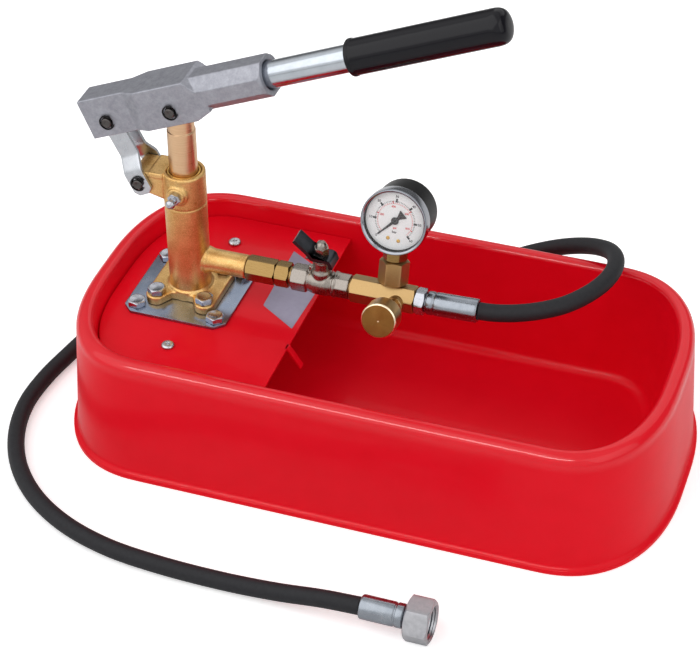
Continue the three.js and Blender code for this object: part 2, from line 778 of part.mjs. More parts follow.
// Suction pipe from the body's foot down to its strainer just above the basin floor
const pipeTop = plateTop + pipeSocketDepth - fitGap;
const strainerBottom = basinFloor + strainerFloorGap;
const strainerTop = strainerBottom + strainerHeight;
addPiece('suction_tube', turned([
  [pipeBore, strainerTop - strainerHeight / 3], [pipeRadius, strainerTop - strainerHeight / 3],
  [pipeRadius, pipeTop], [pipeBore, pipeTop], [pipeBore, strainerTop - strainerHeight / 3],
], 12), zinc).position.set(pumpX, 0, 0);

function suctionStrainer() {
  const hollow = strainerRadius - strainerWall;
  const cup = turned([
    [0, strainerBottom], [strainerRadius, strainerBottom], [strainerRadius, strainerTop],
    [pipeRadius + fitGap, strainerTop], [pipeRadius + fitGap, strainerTop - strainerWall],
    [hollow, strainerTop - strainerWall], [hollow, strainerBottom + strainerWall],
    [0, strainerBottom + strainerWall],
  ], 16);
  const slots = [];
  for (let slot = 0; slot < strainerSlots; slot += 1) {
    slots.push(block(
      strainerRadius / 2, strainerRadius + overrun, -strainerSlotWidth / 2, strainerSlotWidth / 2,
      strainerBottom + strainerSlotInset, strainerTop - strainerSlotInset,
    ).rotateZ((slot / strainerSlots) * 2 * Math.PI));
  }
  return shaped(cup, [], slots);
}
addPiece('suction_strainer', suctionStrainer(), brightBrass).position.set(pumpX, 0, 0);

// Piston: a plain ram, slightly reduced where it enters the lever's fork, with a cross hole for its pin
function pistonRam() {
  const top = pistonPinZ + pistonPastPin;
  const step = pistonRadius - pistonHeadRadius;
  const ram = turned([
    [0, pistonBottom], [pistonRadius - step, pistonBottom], [pistonRadius, pistonBottom + step],
    [pistonRadius, pistonStepZ - step], [pistonHeadRadius, pistonStepZ], [pistonHeadRadius, top], [0, top],
  ], 20);
  const hole = alongYPin(pinRadius + fitGap, -pistonRadius - overrun, pistonRadius + overrun, 12);
  return shaped(ram, [], [hole.translate(0, 0, pistonPinZ)]);
}
addPiece('piston', pistonRam(), pistonBronze).position.set(pumpX, 0, 0);

// Lever assembly, built level and turned up about the piston pin
const lever = new THREE.Group();
lever.position.set(pumpX, 0, pistonPinZ);
lever.rotation.y = -leverAngle;
pump.add(lever);

function leverHead() {
  const side = [
    [-headLeft, -headBottom], [headShoulder, -headBottom],
    [headShoulder + headHeelRun, headHeelRise - headBottom],
    [headShoulder + headHeelRun, headTop - headShoulderDrop],
    [headShoulder + headShoulderRun, headTop - headShoulderDrop],
    [headShoulder, headTop], [-headLeft, headTop],
  ];
  const plan = [
    [-headLeft, -headNarrow], [-headStepStart, -headNarrow], [-headStepEnd, -headWide],
    [headShoulder + headHeelRun + overrun, -headWide], [headShoulder + headHeelRun + overrun, headWide],
    [-headStepEnd, headWide], [-headStepStart, headNarrow], [-headLeft, headNarrow],
  ];
  const cheeks = common(
    sideSlab(side, -headWide, headWide), slab(plan, -headBottom - overrun, headTop + overrun),
  );
  const [low, high] = [socketAxisW - socketHalfHeight, socketAxisW + socketHalfHeight];
  const octagon = [
    [-headWide, low + socketChamferW], [socketChamferY - headWide, low], [headWide - socketChamferY, low],
    [headWide, low + socketChamferW], [headWide, high - socketChamferW], [headWide - socketChamferY, high],
    [socketChamferY - headWide, high], [-headWide, high - socketChamferW],
  ];
  const corner = Math.hypot(headWide, socketHalfHeight) + overrun;
  const cone = turned([
    [0, forkPistonRight], [corner, forkPistonRight], [corner, socketEnd - corner + socketEndRadius],
    [socketEndRadius, socketEnd], [0, socketEnd],
  ], 16).translate(0, socketAxisW, 0);
  const socket = common(slab(octagon, forkPistonRight, socketEnd), cone)
    .rotateZ(Math.PI / 2).rotateY(Math.PI / 2);
  const bore = leverTubeRadius + fitGap;
  const mouth = turned([
    [0, socketBottom], [bore, socketBottom], [bore, socketEnd - socketMouthChamfer],
    [bore + socketMouthChamfer + overrun, socketEnd + overrun], [0, socketEnd + overrun],
  ], 16);
  const under = -headBottom - overrun;
  const holeReach = headWide + overrun;
  const hole = (u) => alongYPin(pinRadius + fitGap, -holeReach, holeReach, 12).translate(u, 0, 0);
  return shaped(cheeks, [socket], [
    alongX(mouth).translate(0, 0, socketAxisW),
    block(-headLeft - overrun, 0, -forkNarrow, forkNarrow, under, forkRoof),
    block(-forkPistonLeft, forkPistonRight, -forkPiston, forkPiston, under, forkRoof),
    hole(0), hole(-leverPitch),
  ]);
}
addPiece('lever_head', leverHead(), castAluminium, lever);

const tubeEnd = gripEnd - gripWallEnd;
const tubeReach = tubeEnd - socketBottom - 2 * fitGap;
const tubeBore = leverTubeRadius - leverTubeWall;
addPiece('lever_tube', alongX(turned([
  [tubeBore, 0], [leverTubeRadius, 0], [leverTubeRadius, tubeReach], [tubeBore, tubeReach], [tubeBore, 0],
], 16)), brightTube, lever).position.set(socketBottom + fitGap, 0, socketAxisW);

function leverGrip() {
  const dome = [];
  for (let step = 0; step <= roundSteps; step += 1) {
    const turn = (step / roundSteps) * Math.PI / 2;
    const [across, along] = [gripDome * Math.cos(turn), gripDome * Math.sin(turn)];
    dome.push([gripRadius - gripDome + across, gripEnd - gripDome + along]);
  }
  const bore = leverTubeRadius + fitGap;
  const lipEnd = gripStart + gripLipLength;
  return alongX(turned([
    [bore, gripStart], [gripLipRadius, gripStart], [gripLipRadius, lipEnd],
    [gripRadius, lipEnd + (gripLipRadius - gripRadius)], ...dome, [0, gripEnd], [0, tubeEnd],
    [bore, tubeEnd], [bore, gripStart],
  ], 20));
}
addPiece('lever_grip', leverGrip(), blackGrip, lever).position.set(0, 0, socketAxisW);

// Pins: a nose and a clip at the front, an upset head at the back. The lever's link pin is two stubs,
// because its middle is where the closed linkage is left open.
function headedPin(frontFace, backFace) {
  const nose = frontFace + pinNose;
  return towardsFront(turned([
    [0, -backFace - fitGap - pinHeadThick], [pinHeadRadius, -backFace - fitGap - pinHeadThick],
    [pinHeadRadius, -backFace - fitGap], [pinRadius, -backFace - fitGap],
    [pinRadius, nose - pinHeadThick / 3], [pinRadius - pinHeadThick / 3, nose], [0, nose],
  ], 12));
}

function retainingClip() {
  const ring = turned([
    [pinRadius + fitGap, 0], [clipRadius, 0], [clipRadius, clipThick], [pinRadius + fitGap, clipThick],
    [pinRadius + fitGap, 0],
  ], 16);
  const reach = clipRadius + overrun;
  const mouth = block(-clipMouth / 2, clipMouth / 2, 0, reach, -overrun, clipThick + overrun);
  return towardsFront(shaped(ring, [], [mouth]));
}

function stubPin(innerFace, outerFace, outerEnd) {
  const end = outerFace + outerEnd;
  return turned([
    [0, innerFace], [pinRadius, innerFace], [pinRadius, end - pinHeadThick / 3],
    [pinRadius - pinHeadThick / 3, end], [0, end],
  ], 12);
}

addPiece('piston_pin', headedPin(headWide, headWide), blackSteel, lever);
addPiece('piston_pin_clip', retainingClip(), blackSteel, lever).position.set(0, -headWide - clipStand, 0);
const frontStub = towardsFront(stubPin(forkNarrow, headNarrow, pinNose));
const backStub = frontStub.clone().rotateZ(Math.PI);
addPiece('link_pin_front', frontStub, blackSteel, lever).position.set(-leverPitch, 0, 0);
addPiece('link_pin_back', backStub, blackSteel, lever).position.set(-leverPitch, 0, 0);
const linkClip = addPiece('link_pin_clip', retainingClip(), blackSteel, lever);
linkClip.position.set(-leverPitch, -headNarrow - clipStand, 0);
addPiece('body_pin', headedPin(strapLowerFace, strapLowerFace), blackSteel)
  .position.set(bodyPinX, 0, bodyPinZ);
const bodyClip = addPiece('body_pin_clip', retainingClip(), blackSteel);
bodyClip.position.set(bodyPinX, -strapLowerFace - clipStand, bodyPinZ);

// Link straps, built upright on the body pin and leaned to the lever pin
function linkStrap() {
  const half = strapWidth / 2;
  const crop = strapFoot / 3;
  const head = [];
  for (let step = 0; step <= 2 * roundSteps; step += 1) {
    const turn = (step / (2 * roundSteps)) * Math.PI;
    head.push([half * Math.cos(turn), linkPitch + strapHead * Math.sin(turn)]);
  }
  const face = sideSlab([
    [crop - half, -strapFoot], [half - crop, -strapFoot], [half, crop - strapFoot], ...head,
    [-half, crop - strapFoot],
  ], -strapLowerFace - overrun, 0);
  const inner = (outer) => outer - strapThick;
  const reach = linkPitch + strapHead + overrun;
  const bent = slab([
    [-strapLowerFace, -strapFoot - overrun], [-inner(strapLowerFace), -strapFoot - overrun],
    [-inner(strapLowerFace), joggleStart], [-inner(strapUpperFace), joggleEnd],
    [-inner(strapUpperFace), reach], [-strapUpperFace, reach],
    [-strapUpperFace, joggleEnd], [-strapLowerFace, joggleStart],
  ], -half - overrun, half + overrun).rotateX(Math.PI / 2).rotateZ(Math.PI / 2);
  const strap = solid(face).intersect(solid(bent));
  const hole = (s) => (
    solid(alongYPin(pinRadius + fitGap, -strapLowerFace - overrun, 0, 12).translate(0, 0, s))
  );
  return geometryOf(strap.subtract(hole(0)).subtract(hole(linkPitch)));
}
const links = new THREE.Group();
links.position.set(bodyPinX, 0, bodyPinZ);
links.rotation.y = -linkLean;
pump.add(links);
addPiece('link_front', linkStrap(), zinc, links);
addPiece('link_back', linkStrap().rotateZ(Math.PI), zinc, links);

// Outlet line: pieces are made along +X from the line's own zero
const line = new THREE.Group();
line.position.set(lineX, 0, outletZ);
pump.add(line);

// A hexagon bar along X, one flat facing up and to the front at the angle given
function lineHex(across, from, to, turn = lineTurn, count = 6) {
  return alongX(prismBar(across, from, to, lineChamfer, turn - Math.PI / 2 + Math.PI / 2, count));
}
const lineRod = (radius, from, to, sides = 12) => alongX(rod(radius, from, to, sides));

const adaptorStart = nozzleEndX + fitGap;
addPiece('outlet_adaptor', shaped(
  lineHex(adaptorAcross, adaptorStart, adaptorEndX),
  [lineRod(lineSpigot, adaptorEndX - overrun, valveStartX + lineSpigotReach)],
  [
    lineRod(chamberRadius, adaptorStart - overrun, adaptorStart + dischargeDepth),
    lineRod(passageRadius, adaptorStart, valveStartX + lineSpigotReach + overrun),
  ],
), brightBrass, line);
addPiece('adaptor_nut', shaped(
  lineHex(adaptorAcross, adaptorEndX + fitGap, adaptorNutEndX),
  [],
  [lineRod(lineSpigot + fitGap, adaptorEndX - overrun, adaptorNutEndX + overrun)],
), brightBrass, line);

// Ball valve body: a hexagon at each end, a round waist and an upright stem boss with a stop lug
function valveBody() {
  const waist = alongX(turned([
    [0, valveHexEndX - overrun], [valveWaistRadius, valveHexEndX - overrun],
    [valveWaistRadius, valveHexEndX + overrun], [valveBodyRadius, valveStemX - stemBossRadius],
    [valveBodyRadius, valveStemX + stemBossRadius], [valveWaistRadius, valveRightX - overrun],
    [valveWaistRadius, valveRightX + overrun], [0, valveRightX + overrun],
  ], 16));
  const collar = lineRod(valveBodyRadius, valveRightX, valveRightX + 2 * overrun);
  const boss = turned([
    [0, 0], [stemBossRadius + overrun, 0], [stemBossRadius, stemBossTop - stemBossRadius],
    [stemBossRadius, stemBossTop], [0, stemBossTop],
  ], 12).translate(valveStemX, 0, 0);
  const lug = rod(stopLugRadius, 0, stopLugRise, 12).translate(stopLugX, 0, 0);
  const cavity = new THREE.SphereGeometry(valveBallRadius + fitGap, 12, 8).translate(valveStemX, 0, 0);
  const socket = lineSpigotReach + 2 * fitGap;
  return shaped(lineHex(valveAcross, valveStartX, valveHexEndX), [
    waist, collar, boss, lug, lineHex(valveAcross, valveRightX, valveEndX, lineTurn, 8),
  ], [
    cavity,
    lineRod(valvePort, valveStartX - overrun, valveEndX + overrun, 12),
    lineRod(lineSpigot + fitGap, valveStartX - overrun, valveStartX + socket),
    lineRod(lineSpigot + fitGap, valveEndX - socket, valveEndX + overrun),
    rod(stemRadius + fitGap, 0, stemBossTop + overrun, 12).translate(valveStemX, 0, 0),
  ]);
}
addPiece('valve_body', valveBody(), nickel, line);
addPiece('valve_ball', shaped(
  new THREE.SphereGeometry(valveBallRadius, 12, 8), [],
  [lineRod(valvePort, -valveBallRadius - overrun, valveBallRadius + overrun, 12)],
), zinc, line).position.set(valveStemX, 0, 0);

// Stem, stop plate, butterfly handle and cap nut turn together on the boss
const stopPlateBase = stemBossTop + fitGap;
const handleUnder = handleBase;
const nutBase = handleUnder + handleThick;
addPiece('valve_stem', rod(stemRadius, valveBallRadius + fitGap, nutBase + handleNutHeight / 2), zinc, line)
  .position.set(valveStemX, 0, 0);
addPiece('valve_stop_plate', shaped(
  rod(stopPlateRadius, stopPlateBase, stopPlateBase + stopPlateThick, 16),
  [block(
    -stopPlateRadius - stopPlateTab, 0, -stopPlateTab, stopPlateTab,
    stopPlateBase, stopPlateBase + stopPlateThick,
  )],
  [rod(stemRadius + fitGap, 0, handleBase)],
), nickel, line).position.set(valveStemX, 0, 0);

function butterflyHandle() {
  const wing = [
    [-handleInner, handleUnder], [-handleInner - handleFlare, handleUnder + handleFlareRise],
    [-wingReach, handleUnder + wingRise],
  ];
  const upper = wing.map(([x, z]) => [x, z + handleThick]).reverse();
  const strip = sideSlab([
    [toeReach, handleUnder - toeDrop], [toeInner, handleUnder], ...wing, ...upper,
    [toeInner + handleThick / 2, handleUnder + handleThick], [toeReach + handleThick, handleUnder - toeDrop],
  ], -handleWidth / 2, handleWidth / 2);
  return shaped(strip, [], [rod(stemRadius + fitGap, 0, nutBase + overrun)]);
}
addPiece('valve_handle', butterflyHandle(), darkHandle, line).position.set(valveStemX, 0, 0);
const nutTop = nutBase + handleNutHeight;
addPiece('valve_handle_nut', shaped(
  prismBar(handleNutAcross, nutBase, nutTop, 0),
  [turned([
    [0, nutBase], [handleNutAcross / 2, nutBase], [handleNutAcross / 2, nutTop],
    [handleNutAcross / 3, nutTop + handleNutDome * 0.7], [0, nutTop + handleNutDome],
  ], 12)],
  [rod(stemRadius + fitGap, nutBase - overrun, nutBase + handleNutHeight / 2 + fitGap)],
), nickel, line).position.set(valveStemX, 0, 0);

// Tee group: local +Z is the gauge's stem, local -Y is the gauge's face and the bleed screw's axis
const tee = new THREE.Group();
tee.position.set(lineX, 0, outletZ);
tee.rotation.x = -teeLean;
pump.add(tee);

function teeBlock() {
  const bar = alongX(prismBar(teeAcross, teeStartX, teeEndX, lineChamfer, 0));
  const gaugeBoss = prismBar(gaugeBossAcross, gaugeBossFoot, gaugeBossReach, lineChamfer, gaugeBossTurn)
    .translate(gaugeBossX, 0, 0);
  const gaugeNeck = rod(gaugeBossNeck, 0, gaugeBossFoot + overrun, 16).translate(gaugeBossX, 0, 0);
  const bleedBoss = towardsFront(rod(bleedBossRadius, 0, bleedBossReach, 16)).translate(bleedX, 0, 0);
  return shaped(bar, [
    gaugeBoss, gaugeNeck, bleedBoss, lineRod(lineSpigot, valveEndX - lineSpigotReach, teeStartX + overrun),
  ], [
    lineRod(teeBore, valveEndX - lineSpigotReach - overrun, teeEndX + overrun, 16),
    lineRod(nearSpigot + fitGap, teeEndX - nearSpigotReach - fitGap, teeEndX + overrun, 16),
    rod(gaugePort, teeBore, gaugeBossReach + overrun, 16).translate(gaugeBossX, 0, 0),
    towardsFront(rod(bleedPort, 0, bleedBossReach + overrun, 16)).translate(bleedX, 0, 0),
  ]);
}
addPiece('tee_block', teeBlock(), brightBrass, tee);

// Bleed screw: shank, neck and a plain turned knob in one piece
addPiece('bleed_knob', towardsFront(turned([
  [0, bleedShankReach], [bleedShank, bleedShankReach], [bleedShank, bleedBossReach + fitGap],
  [knobNeck, bleedBossReach + fitGap], [knobNeck, knobStart], [knobRearRadius, knobStart],
  [knobRadius, knobStart + knobRadius - knobRearRadius], [knobRadius, knobFace - knobEdge],
  [knobRadius - knobEdge, knobFace], [0, knobFace],
], 20)), brightBrass, tee).position.set(bleedX, 0, 0);

// Gauge
const gaugeStemBase = gaugeBossReach + fitGap;
const gaugeStemTop = gaugeStemBase + gaugeStemHex;
const gaugeCentre = gaugeStemTop + bezelRadius + fitGap;
addPiece('gauge_stem', shaped(
  prismBar(gaugeStemAcross, gaugeStemBase, gaugeStemTop, lineChamfer),
  [
    rod(gaugeStemShank, gaugeStemBase - gaugeStemDepth, gaugeStemBase + overrun),
    rod(gaugeStemNeck, gaugeStemTop - overrun, gaugeCentre - gaugeCaseRadius - fitGap),
  ],
  [rod(gaugeStemShank / 3, gaugeStemBase - gaugeStemDepth - overrun, gaugeStemTop - overrun, 12)],
), brightBrass, tee).position.set(gaugeBossX, 0, 0);

const gauge = new THREE.Group();
gauge.position.set(gaugeBossX, 0, gaugeCentre);
tee.add(gauge);
const caseBore = gaugeCaseRadius - gaugeCaseWall;
addPiece('gauge_case', towardsFront(turned([
  [0, gaugeCaseBack], [gaugeCaseRadius - gaugeCaseRound, gaugeCaseBack],
  [gaugeCaseRadius, gaugeCaseBack + gaugeCaseRound], [gaugeCaseRadius, bezelStart - fitGap],
  [caseBore + gaugeCaseWall / 2, bezelStart - fitGap], [caseBore + gaugeCaseWall / 2, gaugeCaseFront],
  [caseBore, gaugeCaseFront], [caseBore, dialFace - dialThick - fitGap], [0, dialFace - dialThick - fitGap],
], 20)), caseBlack, gauge);
const bezelBore = caseBore + gaugeCaseWall / 2 + fitGap;
const lensFace = bezelFace - bezelLipThick - fitGap;
addPiece('gauge_bezel', towardsFront(turned([
  [bezelBore, bezelStart], [bezelRadius, bezelStart], [bezelRadius, bezelFace - bezelEdge],
  [bezelRadius - bezelEdge, bezelFace], [bezelLip, bezelFace], [bezelLip, bezelFace - bezelLipThick],
  [bezelBore, bezelFace - bezelLipThick], [bezelBore, bezelStart],
], 20)), bezelGrey, gauge);
const lens = towardsFront(rod(bezelBore - fitGap, lensFace - lensThick, lensFace, 20));
addPiece('gauge_lens', lens, clearLens, gauge);
const dial = towardsFront(rod(dialRadius, dialFace - dialThick, dialFace, 20));
addPiece('gauge_dial', dial, dialWhite, gauge);

function gaugePointer() {
  const blade = slab([
    [-pointerTail, -pointerTailWidth / 2], [-pointerHub, -pointerThick], [pointerTip, 0],
    [-pointerHub, pointerThick],
    [-pointerTail, pointerTailWidth / 2],
  ], 0, pointerThick);
  return shaped(blade, [rod(pointerHub, 0, pointerHubHeight)], []);
}
const pointerGeometry = towardsFront(gaugePointer().rotateZ(pointerRest));
addPiece('gauge_pointer', pointerGeometry, caseBlack, gauge).position.set(0, -dialFace - 2 * fitGap, 0);

// Near hose nut and ferrule
addPiece('hose_nut_near', shaped(
  lineHex(nearNutAcross, teeEndX + fitGap, nearNutEndX),
  [
    lineRod(nearSpigot, teeEndX - nearSpigotReach, teeEndX + overrun),
    lineRod(nearNutNeck, nearNutEndX - overrun, nearNutEndX + nearNutNeckReach),
  ],
  [lineRod(passageRadius, teeEndX - nearSpigotReach - overrun, nearNutEndX + overrun)],
), zinc, line);

// A crimped sleeve along +X, its grooves at the shares given
function ferruleProfile(from, to, grooveShares) {
  const points = [[0, from], [ferruleRadius - ferruleChamfer, from], [ferruleRadius, from + ferruleChamfer]];
  for (const share of grooveShares) {
    const at = from + share * (to - from);
    points.push(
      [ferruleRadius, at - ferruleGrooveWidth / 2], [ferruleRadius - ferruleGroove, at],
      [ferruleRadius, at + ferruleGrooveWidth / 2],
    );
  }
  points.push([ferruleRadius, to - ferruleChamfer], [ferruleRadius - ferruleChamfer, to]);
  return points;
}
const nearFerruleStart = nearNutEndX + nearNutNeckReach + fitGap;
const nearFerruleLength = nearFerruleEndX - nearFerruleStart;
const nearFerrule = addPiece('hose_ferrule_near', alongX(turned([
  ...ferruleProfile(0, nearFerruleLength, nearGrooveShares), [0, nearFerruleLength],
], 16)), zinc, line);
nearFerrule.position.set(nearFerruleStart, 0, 0);
nearFerrule.rotation.y = -nearFerruleTilt;

// Hose: one tube along its route
function hoseTube() {
  const route = new THREE.CatmullRomCurve3(
    hoseRoute.map(([x, y, z]) => new THREE.Vector3(lineX + x, y * routeShare, z)), false, 'centripetal',
  );
  const section = new THREE.Shape();
  section.moveTo(hoseRadius, 0);
  for (let side = 1; side < hoseSides; side += 1) {
    const turn = (side / hoseSides) * 2 * Math.PI;
    section.lineTo(hoseRadius * Math.cos(turn), hoseRadius * Math.sin(turn));
  }
  return new THREE.ExtrudeGeometry(section, { steps: hoseSteps, extrudePath: route, curveSegments: 1 });
}
addPiece('hose', hoseTube(), blackRubber);

// Far end: ferrule with a collared nose, and the union nut that turns on it
const far = new THREE.Group();
far.position.set(lineX, -farReach * routeShare, farNutAcross / 2);
pump.add(far);
const collarStart = farNutStartX + farNutWall + fitGap;
addPiece('hose_ferrule_far', alongX(turned([
  ...ferruleProfile(farFerruleStartX, farFerruleEndX, farGrooveShares),
  [farNeck, farFerruleEndX], [farNeck, collarStart], [farCollar, collarStart],
  [farCollar, collarStart + farCollarThick], [0, collarStart + farCollarThick],
], 16)), zinc, far);
addPiece('hose_nut_far', shaped(
  alongX(prismBar(farNutAcross, farNutStartX, farNutEndX, farNutChamfer, 0)),
  [],
  [
    lineRod(farNeck + fitGap, farNutStartX - overrun, farNutEndX),
    lineRod(farNutBore, farNutStartX + farNutWall, farNutEndX + overrun, 16),
  ],
), zinc, far);

export default pump;
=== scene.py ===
# Hand-lever hydrostatic test pump. A red pressed-steel tank carries a cast brass piston pump
# on its cover; a forged lever works the piston, and the outlet line runs over the basin through
# a valve, a tee with gauge and bleed screw, to a rubber hose that lies round the tank.
import bpy
import bmesh
import numpy as np
from mathutils import Matrix, Vector


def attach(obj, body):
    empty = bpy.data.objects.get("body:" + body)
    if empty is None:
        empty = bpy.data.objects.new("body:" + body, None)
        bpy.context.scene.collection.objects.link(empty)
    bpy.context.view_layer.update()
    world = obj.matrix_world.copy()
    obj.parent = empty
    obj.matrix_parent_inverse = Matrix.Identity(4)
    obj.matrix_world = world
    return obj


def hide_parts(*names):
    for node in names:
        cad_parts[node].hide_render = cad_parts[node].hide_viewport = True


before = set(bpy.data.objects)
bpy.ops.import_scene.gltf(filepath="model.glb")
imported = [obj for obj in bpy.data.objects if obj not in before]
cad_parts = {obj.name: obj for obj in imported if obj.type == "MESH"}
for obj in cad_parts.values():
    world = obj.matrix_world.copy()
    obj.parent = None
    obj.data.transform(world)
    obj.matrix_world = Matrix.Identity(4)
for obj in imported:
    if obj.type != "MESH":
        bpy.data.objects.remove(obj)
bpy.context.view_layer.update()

# Camera and studio. A long lens looks down on the pump from its front right, over a pale
# seamless floor. A broad soft box hangs over the front left and weaker ones on the right and
# behind, and the surroundings are white for what is seen directly or mirrored.
lens = 115.59
eye = (0.330527, -1.010225, 0.900123)
right = (0.94635465, 0.3230213, -0.00837305)
up = (-0.19196257, 0.58285878, 0.78957331)
back = (0.2599293, -0.74560906, 0.61359912)

scene = bpy.context.scene
scene.view_settings.view_transform = "Standard"
camera_data = bpy.data.cameras.new("camera")
camera_data.lens = lens
camera_data.sensor_width = 36
camera_data.clip_start = 0.05
camera_data.clip_end = 30


def placed(name, data):
    """A new object of a mesh, a lamp or the like, in the scene."""
    made = bpy.data.objects.new(name, data)
    scene.collection.objects.link(made)
    return made


camera = placed("camera", camera_data)
camera.matrix_world = Matrix([*np.column_stack([right, up, back, eye]).tolist(), (0, 0, 0, 1)])
scene.camera = camera


def linear(red, green, blue):
    """Scene colour of an 8-bit display colour: each channel over 255, through the sRGB curve."""
    shown = np.array([red, green, blue]) / 255
    light = np.where(shown <= 0.04045, shown / 12.92, ((shown + 0.055) / 1.055) ** 2.4)
    return (*light.tolist(), 1.0)


class Wire:
    """A shader socket that can be used in arithmetic; each operator adds one Math node."""

    def __init__(self, finish, socket):
        self.finish = finish
        self.socket = socket

    def calculate(self, operation, *values):
        return self.finish.node("ShaderNodeMath", {"operation": operation},
                                dict(enumerate(values)))

    def __add__(self, other):
        return self.calculate("ADD", self, other)

    def __sub__(self, other):
        return self.calculate("SUBTRACT", self, other)

    def __rsub__(self, other):
        return self.calculate("SUBTRACT", other, self)

    def __mul__(self, other):
        return self.calculate("MULTIPLY", self, other)

    __radd__ = __add__
    __rmul__ = __mul__


class Finish:
    """A material, or the world, whose nodes all come from one method."""

    def __init__(self, name, owner=None, **sockets):
        self.owner = owner or bpy.data.materials.new(name)
        self.owner.use_nodes = True
        self.nodes = self.owner.node_tree.nodes
        self.links = self.owner.node_tree.links
        self.shader = self.nodes.get("Principled BSDF")
        for socket, value in sockets.items():
            self.give(socket.replace("_", " ").title().replace("Ior", "IOR"), value)

    def give(self, socket, value):
        """Sets a value on the shader's own socket, or links a wire to it."""
        target = self.shader.inputs[socket]
        if isinstance(value, Wire):
            self.links.new(value.socket, target)
        else:
            target.default_value = value

    def node(self, kind, settings=None, values=None, output=0):
        """Adds a node: its settings first, then the values or wires of its sockets."""
        made = self.nodes.new(kind)
        for setting, value in (settings or {}).items():
            setattr(made, setting, value)
        for socket, value in (values or {}).items():
            if isinstance(value, Wire):
                self.links.new(value.socket, made.inputs[socket])
            else:
                made.inputs[socket].default_value = value
        return Wire(self, made.outputs[output]) if made.outputs else None

    def place(self):
        return self.node("ShaderNodeTexCoord", output="Object")

    def height(self):
        """The height above the floor, in metres."""
        return self.node("ShaderNodeSeparateXYZ", {}, {0: self.place()}, output="Z")

    def stretched(self, scale):
        """Object coordinates, scaled per axis, for a pattern that is longer one way."""
        return self.node("ShaderNodeMapping", {}, {"Vector": self.place(), "Scale": scale})

    def vector(self, operation, first, second=(0.0, 0.0, 0.0), output="Vector"):
        """Arithmetic on vectors, whose result is a vector or, where asked, a value."""
        return self.node("ShaderNodeVectorMath", {"operation": operation},
                         {0: first, 1: second}, output)

    def noise(self, scale, detail=2.0, rough=0.5, where=None):
        """Noise from 0 to 1 with this many features per metre."""
        return self.node("ShaderNodeTexNoise", {}, {
            "Vector": where or self.place(), "Scale": scale, "Detail": detail,
            "Roughness": rough})

    def between(self, value, low, high, to_low=0.0, to_high=1.0):
        """The value's range from low to high spread over to_low to to_high, and held there."""
        return self.node("ShaderNodeMapRange", {"clamp": True}, {
            "Value": value, "From Min": low, "From Max": high,
            "To Min": to_low, "To Max": to_high})

    def mix(self, share, first, second):
        """A colour between two, by a share from 0 to 1."""
        return self.node("ShaderNodeMix", {"data_type": "RGBA"},
                         {0: share, 6: first, 7: second}, output=2)

    def tint(self, share, first, second):
        """Gives a base colour between two 8-bit display colours, by a share from 0 to 1."""
        self.give("Base Color", self.mix(share, linear(*first), linear(*second)))

    def dull(self, share, low, high):
        """Gives a roughness from low to high over the middle of a noise's range."""
        self.give("Roughness", self.between(share, 0.3, 0.7, low, high))

    def relief(self, height, depth):
        """Gives a relief from a height of 0 to 1, as deep as depth in metres."""
        self.give("Normal", self.node("ShaderNodeBump", {}, {
            "Height": height, "Distance": depth}))


def studio_world():
    """White all round for what the camera and glass see, dimmer for the fill light. Metal and
    gloss mirror white from above the front left, falling to grey towards the other side."""
    world = Finish("studio", owner=bpy.data.worlds.new("studio"))
    scene.world = world.owner
    world.nodes.clear()
    seen, glossy, through = [world.node("ShaderNodeLightPath", output="Is %s Ray" % kind)
                             for kind in ("Camera", "Glossy", "Transmission")]
    direction = world.node("ShaderNodeTexCoord", output="Generated")
    facing = world.vector("DOT_PRODUCT", direction, (-0.3, -0.6, 0.74), "Value")
    strengths = (0.48, 1.0, world.between(facing, -0.05, 0.45, 0.18, 1.0))
    fill, white, mirrored = [world.node("ShaderNodeBackground", {}, {
        "Color": (1, 1, 1, 1), "Strength": strength}) for strength in strengths]
    shown = world.node("ShaderNodeMixShader", {}, {0: glossy, 1: fill, 2: mirrored})
    shown = world.node("ShaderNodeMixShader", {}, {
        0: seen.calculate("MAXIMUM", seen, through), 1: shown, 2: white})
    world.node("ShaderNodeOutputWorld", {}, {"Surface": shown})


studio_world()


def soft_box(name, at, aim, size, power, only=None):
    """An area lamp at a point, turned to face another. One that is only for a collection adds
    its reflection there and no light of its own."""
    lamp = bpy.data.lights.new(name, "AREA")
    lamp.shape = "RECTANGLE"
    lamp.size, lamp.size_y = size
    lamp.energy = power
    box = placed(name, lamp)
    box.visible_diffuse = only is None
    if only:
        box.light_linking.receiver_collection = only
    box.location = at
    box.rotation_euler = (Vector(aim) - Vector(at)).to_track_quat("-Z", "Y").to_euler()


soft_box("key_box", (-0.8, -0.8, 1.35), (0, 0, 0.05), (2.2, 2.2), 14.5)
soft_box("side_box", (1.35, -0.4, 0.95), (0, 0, 0.06), (1.5, 1.5), 6)
soft_box("back_box", (0.2, 1.25, 1.05), (0, 0, 0.08), (1.8, 1.0), 4.5)

floor_mesh = bpy.data.meshes.new("floor")
floor_mesh.from_pydata([(-6, -6, 0), (6, -6, 0), (6, 6, 0), (-6, 6, 0)], [], [(0, 1, 2, 3)])
floor = placed("floor", floor_mesh)
paper = Finish("floor_paper", base_color=linear(255, 255, 255), roughness=0.9)
paper.give("Specular IOR Level", 0.1)
glow = paper.node("ShaderNodeLightPath", output="Is Camera Ray")
paper.give("Emission Color", paper.mix(glow, (0, 0, 0, 1), (0.45, 0.45, 0.45, 1)))
paper.give("Emission Strength", 1.0)
floor.data.materials.append(paper.owner)

